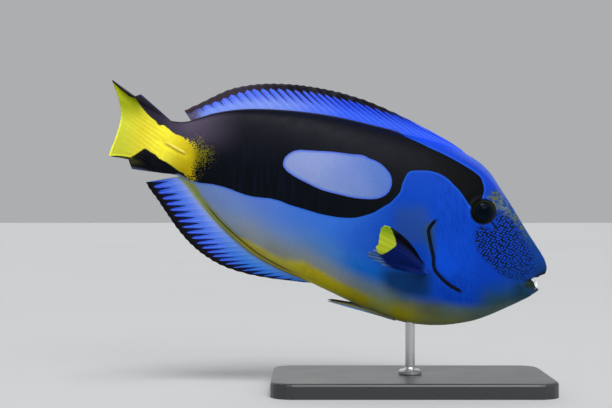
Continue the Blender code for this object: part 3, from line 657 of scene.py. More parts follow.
def skin_material():
    n = Nodes("tang_skin")
    m, s = n.math, n.step
    x, y = n.attr("x"), n.attr("y")
    large = n.noise(55, 3)
    small = n.noise(900, 2)
    tiny = n.noise(2600, 1)
    jitter = m("ADD", m("MULTIPLY", m("SUBTRACT", small, 0.5), 0.9), m("MULTIPLY", m("SUBTRACT", tiny, 0.5), 0.5))
    soft = m("MULTIPLY", m("SUBTRACT", large, 0.5), 50)
    belly_line = n.attr("belly")

    # blues of the flank: lavender at the rear, greyer towards the belly, royal from the shoulder on
    xs = m("ADD", x, soft)
    high = n.mix(s(xs, 200, 330), hex_linear("#6883c8"), hex_linear("#3571d6"))
    high = n.mix(s(xs, 320, 408), high, hex_linear("#0444ba"))
    low = n.mix(s(xs, 240, 330), hex_linear("#6c88c0"), hex_linear("#4a7cbc"))
    low = n.mix(s(xs, 325, 375), low, hex_linear("#0c64c4"))
    depth = s(m("ADD", belly_line, m("MULTIPLY", soft, 0.08)), -23.0, -9.0)
    blue = n.mix(m("MULTIPLY", depth, s(x, 440, 380)), high, low)
    # painted shade with an olive tint between the pectoral fin and the gill cover's upper end
    shoulder_shade_tint = m("MULTIPLY", s(x, 386, 402), s(x, 436, 420))
    shoulder_shade_tint = m("MULTIPLY", shoulder_shade_tint, m("MULTIPLY", s(y, 196, 216), s(y, 250, 236)))
    blue = n.mix(m("MULTIPLY", shoulder_shade_tint, 0.55), blue, hex_linear("#2c4a78"))
    # gill cover and cheek
    blue = n.mix(s(xs, 425, 460), blue, hex_linear("#033eb6"))
    streak_at = n.new("ShaderNodeCombineXYZ")
    n.to(streak_at.inputs[0], m("ADD", m("MULTIPLY", x, 0.42), m("MULTIPLY", y, -0.06)))
    n.to(streak_at.inputs[1], m("MULTIPLY", y, 0.055))
    streaks = n.noise(1.3, 3, 0.55, where=streak_at.outputs[0])
    on_cover = m("MULTIPLY", s(x, 432, 440), s(x, 482, 470))
    blue = n.mix(m("MULTIPLY", on_cover, m("MULTIPLY", s(streaks, 0.42, 0.7), 0.30)), blue, hex_linear("#0a58da"))
    blue = n.mix(m("MULTIPLY", on_cover, m("MULTIPLY", s(streaks, 0.50, 0.32), 0.35)), blue, hex_linear("#022e98"))
    # painted light, in patches, across the middle of the gill cover
    lit = m("MULTIPLY", on_cover, m("MULTIPLY", s(y, 226, 246), s(y, 286, 268)))
    blue = n.mix(m("MULTIPLY", lit, s(large, 0.40, 0.62, 0.25, 0.75)), blue, hex_linear("#0650da"))
    # darker and greener under the jaw
    chin = s(m("ADD", m("ADD", y, m("MULTIPLY", soft, 0.3)), m("MULTIPLY", m("SUBTRACT", x, 480), 0.18)), 276, 310)
    throat = n.mix(s(n.noise(130, 3), 0.4, 0.65), hex_linear("#164a66"), hex_linear("#2a4c52"))
    blue = n.mix(m("MULTIPLY", chin, s(x, 468, 492)), blue, throat)
    jaw = m("MULTIPLY", s(x, 506, 524), s(m("ADD", y, m("MULTIPLY", jitter, 2.0)), 277, 287))
    blue = n.mix(m("MULTIPLY", jaw, 0.75), blue, hex_linear("#15302c"))
    # painted shadow of the pectoral fin on the flank below it
    fin_shadow = m("MULTIPLY", m("MULTIPLY", s(x, 372, 392), s(x, 436, 424)), m("MULTIPLY", s(y, 262, 276), s(y, 304, 290)))
    blue = n.mix(m("MULTIPLY", fin_shadow, 0.85), blue, hex_linear("#062f58"))
    # bright blue of nape and brow, with painted rim light, paler and more lavender, along the top edge
    nape = m("MULTIPLY", s(x, 395, 425), s(m("SUBTRACT", y, m("MULTIPLY", x, 0.62)), -108, -122))
    nape_rim_light = n.mix(s(n.attr("back"), 4.5, 0.8), hex_linear("#163fc0"), n.mix(s(x, 440, 478), hex_linear("#1846d8"), hex_linear("#4a68d0")))
    blue = n.mix(nape, blue, nape_rim_light)
    # forehead: grey-blue, with olive blotches above the eye and fine specks down to the snout
    plane = n.new("ShaderNodeCombineXYZ")
    n.to(plane.inputs[0], x)
    n.to(plane.inputs[1], y)
    # rows of dots, on the cheek and faintly on the forehead
    turned = n.new("ShaderNodeMapping")
    n.to(turned.inputs["Vector"], plane.outputs[0])
    turned.inputs["Rotation"].default_value = (0.0, 0.0, math.radians(-28))
    turned.inputs["Scale"].default_value = (1 / 3.1, 1 / 2.5, 1.0)
    dots = n.new("ShaderNodeTexVoronoi", voronoi_dimensions="2D")
    n.to(dots.inputs["Vector"], turned.outputs[0])
    dots.inputs["Scale"].default_value = 1.0
    dots.inputs["Randomness"].default_value = 0.5
    dot = s(m("ADD", dots.outputs["Distance"], m("MULTIPLY", m("SUBTRACT", tiny, 0.5), 0.12)), 0.45, 0.27)
    dx, dy = m("MULTIPLY", m("SUBTRACT", x, 494.0), 1 / 7.0), m("MULTIPLY", m("SUBTRACT", y, 201.0), 1 / 11.0)
    near = m("SQRT", m("ADD", m("MULTIPLY", dx, dx), m("MULTIPLY", dy, dy)))
    blotch = s(near, 1.3, 0.7)
    blue = n.mix(m("MULTIPLY", blotch, 0.7), blue, hex_linear("#20407c"))
    flecks = m("ADD", n.noise(0.26, 3, 0.6, where=plane.outputs[0]), m("MULTIPLY", m("SUBTRACT", small, 0.5), 0.25))
    blue = n.mix(m("MULTIPLY", blotch, s(flecks, 0.44, 0.54, 0.0, 0.9)), blue, hex_linear("#5e6626"))
    run = m("SUBTRACT", y, m("ADD", m("MULTIPLY", m("SUBTRACT", x, 505.0), 1.32), 212.0))
    profile = m("MULTIPLY", s(m("ABSOLUTE", run), 19.0, 7.0), m("MULTIPLY", s(x, 494, 503), s(x, 545, 528)))
    blue = n.mix(m("MULTIPLY", profile, 0.75), blue, hex_linear("#1e4672"))
    specks2 = n.noise(0.3, 2, 0.6, where=plane.outputs[0])
    net = m("MULTIPLY", m("SUBTRACT", 1.0, m("MULTIPLY", dot, 0.55)), s(specks2, 0.44, 0.56, 0.05, 0.9))
    blue = n.mix(m("MULTIPLY", profile, m("MULTIPLY", net, s(x, 534, 516))), blue, n.mix(s(x, 505, 512), hex_linear("#70806e"), hex_linear("#6a7026")))
    # painted highlight: a paler line along the profile of the forehead
    brow = m("MULTIPLY", s(n.attr("back"), 0.8, 0.15), s(x, 484, 496))
    blue = n.mix(m("MULTIPLY", brow, 0.55), blue, hex_linear("#5580a8"))
    snout = m("MULTIPLY", s(x, 522, 538), 0.75)
    blue = n.mix(snout, blue, hex_linear("#063470"))

    # cheek: rows of blue dots on dark green
    between = n.mix(s(m("ADD", x, m("MULTIPLY", y, 0.25)), 558, 585), hex_linear("#03160e"), hex_linear("#042456"))
    between = n.mix(m("MULTIPLY", s(specks2, 0.48, 0.60), 0.7), between, hex_linear("#041c0e"))
    lattice = n.mix(dot, between, n.mix(s(x, 492, 526), hex_linear("#0d3fc4"), hex_linear("#0b3cae")))
    lattice = n.mix(m("MULTIPLY", s(y, 258, 282), 0.35), lattice, hex_linear("#083a74"))
    on_cheek = s(m("ADD", n.attr("cheek"), m("MULTIPLY", jitter, 1.5)), -1.6, 1.4)
    blue = n.mix(m("MULTIPLY", on_cheek, 0.98), blue, lattice)

    # warm grey close above the yellow
    haze = n.mix(s(x, 188, 202), hex_linear("#6f8c7c"), hex_linear("#8494a8"))
    haze = n.mix(s(x, 225, 250), haze, hex_linear("#889094"))
    haze = n.mix(s(x, 255, 275), haze, hex_linear("#82887e"))
    haze = n.mix(s(x, 280, 305), haze, hex_linear("#808a8c"))
    haze = n.mix(s(x, 335, 375), haze, hex_linear("#6c7e7a"))
    # under the pectoral fin the grey turns darker and greener: painted shadow of the fin
    haze = n.mix(s(x, 380, 402), haze, hex_linear("#566656"))
    haze = n.mix(s(x, 408, 428), haze, hex_linear("#4b5b4a"))
    haze = n.mix(s(x, 434, 450), haze, hex_linear("#4e6a72"))
    haze = n.mix(s(x, 458, 476), haze, hex_linear("#4a6064"))
    # the steps at x 380 and x 430 let the painted shadow of the pectoral fin reach nearer the yellow
    haze_from = m("ADD", s(x, 195, 250, -3.5, -16.0, "LINEAR"), m("ADD", s(x, 255, 340, 0.0, 5.0), m("ADD", s(x, 380, 400, 0.0, 2.2), s(x, 430, 455, 0.0, 2.2))))
    haze_to = s(x, 210, 242, 0.8, -1.2)
    hazed = s(m("ADD", belly_line, m("MULTIPLY", soft, 0.05)), haze_from, haze_to)
    blue = n.mix(m("MULTIPLY", hazed, m("MULTIPLY", s(x, 505, 480), 0.96)), blue, haze)

    # yellow along the belly and the anal fin's base
    belly = m("ADD", belly_line, m("MULTIPLY", m("SUBTRACT", n.noise(160, 4), 0.5), 3.0))
    width = m("ADD", s(x, 235, 290, 0.8, 2.3), s(x, 370, 420, 0.0, 3.2))
    on_belly = s(belly, m("MULTIPLY", width, -1.0), width)
    belly_colour = n.mix(s(x, 225, 246), hex_linear("#98a65a"), hex_linear("#bcb23a"))
    belly_colour = n.mix(s(x, 275, 312), belly_colour, hex_linear("#b8ac06"))
    belly_colour = n.mix(s(xs, 335, 360), belly_colour, hex_linear("#a09804"))
    belly_colour = n.mix(m("MULTIPLY", s(x, 362, 374), s(x, 398, 384)), belly_colour, hex_linear("#8c9244"))
    belly_colour = n.mix(s(n.noise(210, 4), 0.45, 0.7, 0.0, 0.35), belly_colour, hex_linear("#8c8630"))
    belly_colour = n.mix(s(xs, 408, 436), belly_colour, hex_linear("#727a48"))
    belly_colour = n.mix(s(xs, 446, 480), belly_colour, hex_linear("#566862"))
    skin = n.mix(m("MULTIPLY", on_belly, 0.97), blue, belly_colour)

    # painted light: belly and throat paler beneath, where they lie in shade, and a painted pale line of light along the
    # lowest edge
    underlight = m("MULTIPLY", s(n.attr("keel"), 6.0, 0.5), m("MULTIPLY", s(x, 395, 428), s(x, 530, 500)))
    skin = n.mix(m("MULTIPLY", underlight, 0.55), skin, n.mix(s(x, 455, 480), hex_linear("#8f9868"), hex_linear("#66786e")))
    keel_light = m("MULTIPLY", s(n.attr("keel"), 1.0, 0.2), s(x, 300, 340))
    skin = n.mix(m("MULTIPLY", keel_light, 0.5), skin, hex_linear("#6d9690"))

    # dark line where the anal fin stands on the belly
    seam = m("MULTIPLY", s(n.attr("keel"), 1.3, 0.4), m("MULTIPLY", s(x, 200, 214), s(x, 305, 280)))
    skin = n.mix(m("MULTIPLY", seam, 0.8), skin, hex_linear("#4a460c"))

    # the black band, with a thin brighter rim outside it
    edge = m("ADD", n.attr("band"), m("MULTIPLY", jitter, 0.35))
    rim = m("MULTIPLY", s(edge, -1.2, -0.35), s(edge, 0.3, -0.25))
    skin = n.mix(m("MULTIPLY", m("MULTIPLY", rim, 0.5), s(n.attr("top_gap"), 0.5, 2.0)), skin, hex_linear("#1f62d6"))
    # painted sheen on the band's black: lighter towards the top, lavender grey on the top at the rear, and lighter on
    # top of the tail stalk
    black_sheen = n.mix(s(m("ADD", m("SUBTRACT", y, m("MULTIPLY", x, 0.12)), m("MULTIPLY", soft, 0.3)), 92, 140), hex_linear("#0f111b"), hex_linear("#030810"))
    rear = m("MULTIPLY", s(x, 248, 188), s(y, 160, 128))
    black_sheen = n.mix(m("MULTIPLY", rear, 0.85), black_sheen, hex_linear("#544b60"))
    black_sheen = n.mix(m("MULTIPLY", s(x, 192, 158), 0.75), black_sheen, n.mix(s(y, 140, 158), hex_linear("#211f2c"), hex_linear("#0c0e14")))
    black = n.mix(s(x, 380, 460), black_sheen, hex_linear("#030408"))
    bars_at = n.new("ShaderNodeCombineXYZ")
    n.to(bars_at.inputs[0], m("MULTIPLY", x, 0.33))
    n.to(bars_at.inputs[1], m("MULTIPLY", y, 0.03))
    bars = n.noise(1.0, 2, 0.5, where=bars_at.outputs[0])
    black = n.mix(m("MULTIPLY", m("MULTIPLY", s(bars, 0.45, 0.75), 0.16), m("MULTIPLY", s(x, 345, 300), s(y, 135, 155))), black, hex_linear("#12244a"))
    skin = n.mix(s(edge, -0.16, 0.16), skin, black)

    # the pale oval
    inner = m("ADD", n.attr("oval"), m("MULTIPLY", jitter, 0.3))
    pale = n.mix(s(xs, 310, 395), hex_linear("#8c9cd2"), hex_linear("#5778c2"))
    pale = n.mix(m("MULTIPLY", s(m("SUBTRACT", y, m("MULTIPLY", m("SUBTRACT", x, 285), 0.3)), 155, 185), 0.45), pale, hex_linear("#6c86b8"))
    pale = n.mix(m("MULTIPLY", s(n.attr("oval"), 1.6, 0.1), 0.75), pale, hex_linear("#3f62d8"))
    skin = n.mix(s(inner, -0.16, 0.16), skin, pale)

    # the tail's yellow wedge, breaking into specks where it ends on the stalk
    ragged = m("MULTIPLY", s(x, 180, 202), s(y, 186, 172))
    specks = m("ADD", m("MULTIPLY", m("SUBTRACT", 0.40, n.cells(1 / 0.00058)), 14.0), m("MULTIPLY", m("SUBTRACT", n.noise(900, 2), 0.5), 11.0))
    wedge = m("ADD", n.attr("wedge"), m("MULTIPLY", jitter, 0.6))
    wedge = m("ADD", wedge, m("MULTIPLY", ragged, m("ADD", specks, 0.4)))
    olive_end = s(m("ADD", x, m("MULTIPLY", m("SUBTRACT", y, 150.0), 0.6)), 166, 203)
    yellow = n.mix(olive_end, hex_linear("#fdf040"), hex_linear("#6a6404"))
    yellow = n.mix(m("MULTIPLY", s(x, 164, 184), m("MULTIPLY", s(x, 200, 190), 0.55)), yellow, hex_linear("#e6c806"))
    yellow = n.mix(s(x, 142, 122), yellow, hex_linear("#f4f84a"))
    # painted shade: the upper part of the tail's yellow darker and greener
    yellow = n.mix(m("MULTIPLY", s(y, 126, 104), s(x, 150, 136)), yellow, hex_linear("#b0be18"))
    yellow = n.mix(m("MULTIPLY", s(n.noise(120, 3), 0.45, 0.75), 0.22), yellow, hex_linear("#d2c522"))
    ray = n.attr("ray")
    phase = m("ABSOLUTE", m("SUBTRACT", m("FRACT", ray), 0.5))         # 0 on the membrane's middle, 0.5 on a ray
    fine_rays = m("ABSOLUTE", m("SUBTRACT", m("FRACT", m("MULTIPLY", ray, 3.0)), 0.5))
    yellow = n.mix(m("MULTIPLY", m("MULTIPLY", n.attr("caudal"), s(fine_rays, 0.12, 0.0)), 0.24), yellow, hex_linear("#a79f14"))
    skin = n.mix(s(wedge, -0.2, 0.25), skin, yellow)
    # painted highlight: thin pale edges of the dark lobes
    tail_rim_highlight = m("MULTIPLY", n.attr("caudal"), s(n.attr("tail_edge"), 0.55, 0.25))
    tail_rim_highlight = m("MULTIPLY", tail_rim_highlight, s(n.attr("wedge"), 0.2, -0.6))
    skin = n.mix(m("MULTIPLY", tail_rim_highlight, 0.55), skin, hex_linear("#4c5a80"))

    # fins: pale at the base, deeper at the tips, black wedges between the rays and a dark margin
    out = n.attr("out")
    rough_ray = m("ADD", phase, m("MULTIPLY", m("SUBTRACT", small, 0.5), 0.10))
    fin_foot_shade = s(out, 0.075, 0.035)

    # each membrane has its own depth of wedge
    turn = n.new("ShaderNodeCombineXYZ")
    n.to(turn.inputs[0], m("MULTIPLY", m("FLOOR", ray), 3.7))
    own = s(n.noise(1.0, 1, 0.5, where=turn.outputs[0]), 0.35, 0.65, 0.0, 1.0, "LINEAR")
    colour = n.mix(s(xs, 270, 350), hex_linear("#7a94ee"), hex_linear("#3560f2"))
    colour = n.mix(s(out, 0.25, 0.7), colour, n.mix(s(xs, 260, 350), hex_linear("#4c6ef2"), hex_linear("#1c46e6")))
    colour = n.mix(m("MULTIPLY", s(phase, 0.42, 0.5), s(x, 290, 360, 0.35, 0.15)), colour, hex_linear("#a9b9f8"))
    tall = m("MULTIPLY", s(out, 0.30, 0.76, 0.0, 0.26, "LINEAR"), m("ADD", 0.45, m("MULTIPLY", own, 0.75)))
    tall = m("MULTIPLY", tall, m("MULTIPLY", s(x, 440, 350, 0.1, 0.8), s(x, 215, 300, 0.5, 1.0)))
    dark = m("MULTIPLY", s(m("SUBTRACT", rough_ray, tall), 0.045, -0.03), s(out, 0.30, 0.42))
    hair = m("MULTIPLY", m("MULTIPLY", s(phase, 0.05, 0.0), s(out, 0.1, 0.4)), m("MULTIPLY", s(x, 300, 340, 0.0, 0.5), own))
    dark = m("MAXIMUM", dark, hair)
    colour = n.mix(m("MULTIPLY", dark, 0.93), colour, n.mix(s(x, 330, 240), hex_linear("#0a0f26"), hex_linear("#3a2c38")))
    margin_from = m("ADD", s(x, 215, 255, 0.70, 0.79), s(x, 300, 345, 0.0, -0.05))
    margin_from = m("ADD", margin_from, m("MULTIPLY", m("SUBTRACT", 0.5, own), 0.05))
    margin_at = m("ADD", out, m("MULTIPLY", m("SUBTRACT", phase, 0.25), -0.14))
    margin = s(m("SUBTRACT", margin_at, margin_from), -0.03, 0.03)
    margin = m("MULTIPLY", margin, s(x, 425, 385))
    margin_colour = n.mix(s(n.noise(300, 3), 0.45, 0.7), hex_linear("#15131d"), hex_linear("#2b2733"))
    margin_colour = n.mix(s(x, 300, 230), margin_colour, hex_linear("#3a303e"))
    # the last rays: mottled grey lavender, brown at the tip
    lobe = n.mix(s(x, 184, 192), hex_linear("#3a333f"), hex_linear("#5e5b80"))
    lobe = n.mix(s(n.noise(420, 3), 0.46, 0.62, 0.0, 0.55), lobe, hex_linear("#38323e"))
    colour = n.mix(s(x, 207, 194), colour, lobe)
    colour = n.mix(margin, colour, margin_colour)
    pale_edge = m("MULTIPLY", s(out, 0.70, 0.90), m("MULTIPLY", s(x, 405, 428), s(x, 484, 470)))
    colour = n.mix(m("MULTIPLY", pale_edge, 0.5), colour, hex_linear("#8aa0f4"))
    # painted shade along the foot of the dorsal fin
    colour = n.mix(m("MULTIPLY", fin_foot_shade, s(x, 404, 388)), colour, hex_linear("#05060c"))
    skin = n.mix(n.attr("dorsal"), skin, colour)

    colour = n.mix(s(out, 0.05, 0.45), hex_linear("#8099e2"), hex_linear("#4a72e0"))
    colour = n.mix(s(out, 0.4, 0.8), colour, hex_linear("#244cd8"))
    lower = n.mix(s(out, 0.10, 0.5), hex_linear("#4a80cc"), hex_linear("#2268c8"))
    lower = n.mix(s(out, 0.5, 0.85), lower, hex_linear("#123ea8"))
    colour = n.mix(m("MULTIPLY", s(x, 204, 248), 0.92), colour, lower)
    colour = n.mix(m("MULTIPLY", s(phase, 0.40, 0.5), s(x, 215, 260, 0.32, 0.18)), colour, hex_linear("#9db0ee"))
    tall = m("MULTIPLY", s(out, 0.40, 0.84, 0.0, 0.33, "LINEAR"), m("ADD", 0.6, m("MULTIPLY", own, 0.55)))
    dark = m("MULTIPLY", s(m("SUBTRACT", rough_ray, tall), 0.04, -0.03), s(out, 0.40, 0.50))
    colour = n.mix(m("MULTIPLY", dark, 0.95), colour, hex_linear("#060a1a"))
    margin = s(m("ADD", out, m("MULTIPLY", m("SUBTRACT", phase, 0.25), -0.2)), 0.78, 0.85)
    colour = n.mix(margin, colour, hex_linear("#0e0e16"))
    colour = n.mix(m("MULTIPLY", s(out, 0.16, 0.09), 0.85), colour, n.mix(s(x, 205, 235), hex_linear("#8a9470"), hex_linear("#5f6a5c")))
    colour = n.mix(m("MULTIPLY", s(out, 0.10, 0.05), s(x, 196, 212, 0.3, 0.92)), colour, hex_linear("#46420c"))
    skin = n.mix(n.attr("anal"), skin, colour)

    # painted shade: a dark line in the groove along the foot of the dorsal fin
    foot = m("MULTIPLY", s(n.attr("top_gap"), 1.0, 0.35), s(x, 404, 388))
    skin = n.mix(m("MULTIPLY", foot, 0.9), skin, hex_linear("#05060c"))

    # gill cover's dark edge, mouth and lips, skin round the eye
    gill = m("MULTIPLY", s(n.attr("gill"), 1.15, 0.6), s(n.attr("gill_along"), 0.0, 0.06))
    gill = m("MULTIPLY", gill, s(n.attr("gill_along"), 1.0, 0.94))
    halo = m("MULTIPLY", s(n.attr("gill"), 4.5, 0.5), m("MULTIPLY", s(n.attr("gill_along"), 0.02, 0.12), s(n.attr("gill_along"), 0.55, 0.25)))
    skin = n.mix(m("MULTIPLY", halo, 0.6), skin, hex_linear("#2f4a1e"))
    skin = n.mix(m("MULTIPLY", gill, 0.98), skin, hex_linear("#060a02"))
    skin = n.mix(m("MULTIPLY", n.attr("lip"), 0.7), skin, n.mix(s(y, 276, 281), hex_linear("#0e3154"), hex_linear("#2e3414")))
    lx, ly = m("MULTIPLY", m("SUBTRACT", x, 530.0), 1 / 5.5), m("MULTIPLY", m("SUBTRACT", y, 284.0), 1 / 4.5)
    olive_lip = s(m("SQRT", m("ADD", m("MULTIPLY", lx, lx), m("MULTIPLY", ly, ly))), 1.2, 0.6)
    skin = n.mix(m("MULTIPLY", olive_lip, 0.85), skin, hex_linear("#23300f"))
    skin = n.mix(m("MINIMUM", n.attr("mouth"), 1.0), skin, hex_linear("#120c0c"))
    skin = n.mix(s(n.attr("notch"), 0.75, 0.3, 0.0, 0.85), skin, hex_linear("#0a1618"))
    eye_ring = s(n.attr("eye"), 6.5, 5.9)
    skin = n.mix(m("MULTIPLY", eye_ring, 0.9), skin, hex_linear("#0a1012"))
    # fine grain of colour
    grain = m("ADD", m("MULTIPLY", tiny, 0.6), m("MULTIPLY", small, 0.4))
    skin = n.mix(s(grain, 0.38, 0.62, 0.16, 0.0), skin, n.mix(1.0, skin, (0.45, 0.45, 0.5), "MULTIPLY"))
    skin = n.mix(m("MULTIPLY", s(n.attr("plate_edge"), 0.55, 1.0), 0.2), skin, n.mix(1.0, skin, (0.4, 0.42, 0.5), "MULTIPLY"))
    n.to(n.shader.inputs["Base Color"], skin)

    # relief: minute scales in rows; the fin rays are in the mesh itself
    stretch = n.new("ShaderNodeMapping")
    n.to(stretch.inputs["Vector"], n.place())
    stretch.inputs["Scale"].default_value = (1.0, 1.0, 1.35)
    scales = n.cells(1 / 0.00062, where=stretch.outputs[0], randomness=0.55)
    coarse = n.cells(1 / 0.0019, where=stretch.outputs[0], randomness=0.8)
    no_fin = m("SUBTRACT", 1.0, m("ADD", n.attr("dorsal"), m("ADD", n.attr("anal"), m("MULTIPLY", n.attr("caudal"), 0.8))), clamp=True)
    relief = m("ADD", m("MULTIPLY", scales, -0.5), m("MULTIPLY", coarse, -0.12))
    first = n.bump(m("MULTIPLY", relief, no_fin), 0.00005, 0.7)
    fin_grain = n.noise(1500, 3)
    second = n.bump(fin_grain, 0.00005, 0.6, first)
    n.to(n.shader.inputs["Normal"], second)
    rough = m("ADD", 0.40, m("MULTIPLY", m("SUBTRACT", n.noise(230, 3), 0.5), 0.22))
    rough = m("ADD", rough, m("MULTIPLY", scales, 0.08))
    n.to(n.shader.inputs["Roughness"], rough)
    n.shader.inputs["Specular IOR Level"].default_value = 0.06
    return n.mat


SKIN = skin_material()
skin = mesh_object("skin", xyz, faces, [SKIN], ATTRIBUTES)

# ------------------------------------------------------------------ scales: a close coat of small thin plates over head, trunk and tail stalk
SCALE_WIDTH = smooth([(6, 0.66), (20, 0.85), (40, 1.05), (62, 1.3), (110, 1.35), (150, 1.2), (187.5, 0.85)])
COLUMN_SHARE = 0.56                  # spacing of the columns in scale widths
#          along, across (scale widths), height over the skin (mm), nearness to the plate's edge
PLATE = [(-0.62, 0.0, -0.05, 0.0), (-0.05, 0.52, 0.01, 0.7), (0.42, 0.36, 0.05, 1.0), (0.60, 0.0, 0.07, 1.0),
         (0.42, -0.36, 0.05, 1.0), (-0.05, -0.52, 0.01, 0.7), (0.1, 0.0, -0.11, 1.0)]
PLATE_FACES = [(0, 1, 2), (0, 2, 3), (0, 3, 4), (0, 4, 5), (1, 0, 6), (2, 1, 6), (3, 2, 6), (4, 3, 6), (5, 4, 6), (0, 5, 6)]

lie = grow_normals(xyz, faces)
bare = ((eye_r < 7.4) | ((gill_r < 1.2) & (gill_along > 0.01)) | (ATTRIBUTES["lip"] > 0.03) | (ATTRIBUTES["mouth"] > 0.03)
        | (notch_r < 1.1) | (corner < 1.2) | ((spine_r < 2.0) & (station_a > 170)) | (base_line < 0.7)
        | (np.hypot(*(view - root_px).T) * UNIT < 3.4))


def on_grid(table, i, j):
    """Bilinear value of a table of rings and rows at fractional ring i and row j."""
    i0 = np.clip(np.floor(i).astype(int), 0, n_station - 2)
    j0 = np.clip(np.floor(j).astype(int), 0, n_row - 2)
    fi, fj = i - i0, j - j0
    if table.ndim > 2:
        fi, fj = fi[..., None], fj[..., None]
    return ((table[i0, j0] * (1 - fi) + table[i0 + 1, j0] * fi) * (1 - fj)
            + (table[i0, j0 + 1] * (1 - fi) + table[i0 + 1, j0 + 1] * fi) * fj)


for side, which in (("R", 0), ("L", 1)):
    ids = np.array([pair[which][FIN_ROWS:FIN_ROWS + n_row] for pair in rings[:n_station]])
    spot = xyz[ids] / MM
    pace_i = np.maximum(np.linalg.norm(np.gradient(spot, axis=0), axis=-1), 0.05)
    pace_j = np.maximum(np.linalg.norm(np.gradient(spot, axis=1), axis=-1), 0.05)
    arc = np.concatenate([np.zeros((n_station, 1)), np.cumsum(np.linalg.norm(np.diff(spot, axis=1), axis=-1), axis=1)], axis=1)
    mid_row = int(np.argmin(np.abs(V - 0.05)))
    arc -= arc[:, mid_row:mid_row + 1]
    rng = np.random.default_rng(11 + which)
    at_i, at_j, wide = [], [], []
    a, k = 7.0, 0
    while a < 186.6:
        width = float(SCALE_WIDTH(a))
        i = float(np.interp(a, station_of, np.arange(n_station)))
        i0 = min(int(i), n_station - 2)
        here = arc[i0] * (1 - i + i0) + arc[i0 + 1] * (i - i0)
        low, high = math.ceil(here[0] / width), math.floor(here[-1] / width)
        rows = (np.arange(low, high + 1) + 0.5 * (k % 2)) * width
        rows = rows[rows < here[-1]] + rng.normal(0, 0.03, np.sum(rows < here[-1])) * width
        at_j.append(np.interp(rows, here, np.arange(n_row)))
        at_i.append(np.full(len(rows), i) + rng.normal(0, 0.04, len(rows)))
        wide.append(np.full(len(rows), width))
        a += COLUMN_SHARE * width
        k += 1
    at_i, at_j, wide = (np.concatenate(q) for q in (at_i, at_j, wide))
    keep = on_grid(bare[ids].astype(float), at_i, at_j) < 0.05
    at_i, at_j, wide = at_i[keep], at_j[keep], wide[keep]
    wide = wide * rng.uniform(0.93, 1.07, len(wide))
    step_i, step_j = on_grid(pace_i, at_i, at_j), on_grid(pace_j, at_i, at_j)
    plate = np.array(PLATE)
    i = np.clip(at_i[:, None] + plate[None, :, 0] * (wide / step_i)[:, None], 0, n_station - 1.001)
    j = np.clip(at_j[:, None] + plate[None, :, 1] * (wide / step_j)[:, None], 0, n_row - 1.001)
    lift = plate[None, :, 2] * (wide / 1.3)[:, None] * rng.uniform(0.8, 1.2, len(wide))[:, None]
    place = on_grid(spot, i, j) + on_grid(lie[ids], i, j) * lift[..., None]
    turned = np.array(PLATE_FACES)
    if which == 1:
        turned = turned[:, ::-1]
    count = len(at_i)
    triangles = (turned[None] + 7 * np.arange(count)[:, None, None]).reshape(-1, 3)
    values = {key: on_grid(np.asarray(table, float)[ids], i, j).ravel() for key, table in ATTRIBUTES.items() if key != "plate_edge"}
    values["plate_edge"] = np.broadcast_to(plate[None, :, 3], i.shape).ravel()
    coat = mesh_object("scales_" + side, place.reshape(-1, 3) * MM, triangles.tolist(), [SKIN], values, flat=True)
    # each plate is a small patch at its root's place on the unrolled flank
    unrolled = np.stack([0.01 + 0.98 * at_i / (n_station - 1),
                         0.01 + 0.98 * (on_grid(arc, at_i, at_j) - arc.min()) / (arc.max() - arc.min())], -1)
    patch = unrolled[:, None] + 0.003 * plate[None, :, :2] / 1.22
    layer = coat.data.uv_layers.new(name="OFBake")
    layer.data.foreach_set("uv", patch.reshape(-1, 2)[triangles.ravel()].ravel().astype(np.float32))
    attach(coat, "root")
    print("scales", side, count, "plates", len(triangles), "triangles")

# ------------------------------------------------------------------ pectoral and pelvic fins, joined to the skin later


def fin_plate(name, mid, half, mats, attributes, flat_root=None):
    """A thin closed plate with a rounded rim about a grid of middle points in the fish frame."""
    du, dv = np.gradient(mid, axis=0), np.gradient(mid, axis=1)
    n = np.cross(dv, du)
    n /= np.linalg.norm(n, axis=-1, keepdims=True) + 1e-12
    rows, cols = mid.shape[:2]
    up, down = world(mid + n * half[..., None]), world(mid - n * half[..., None])
    pts = np.concatenate([up.reshape(-1, 3), down.reshape(-1, 3)])
    ids = np.arange(rows * cols).reshape(rows, cols)
    low = ids + rows * cols
    out = []
    for i in range(rows - 1):
        for j in range(cols - 1):
            out.append((ids[i, j], ids[i, j + 1], ids[i + 1, j + 1], ids[i + 1, j]))
            out.append((low[i, j], low[i + 1, j], low[i + 1, j + 1], low[i, j + 1]))
    rim = ([(0, j) for j in range(cols)] + [(i, cols - 1) for i in range(1, rows)]
           + [(rows - 1, j) for j in range(cols - 2, -1, -1)] + [(i, 0) for i in range(rows - 2, 0, -1)])
    for (i, j), (k, m) in zip(rim, rim[1:] + rim[:1]):
        out.append((ids[k, m], ids[i, j], low[i, j], low[k, m]))
    attributes = {k: np.concatenate([np.asarray(v).ravel()] * 2) for k, v in attributes.items()}
    obj = mesh_object(name, pts, out, mats, attributes)
    return obj


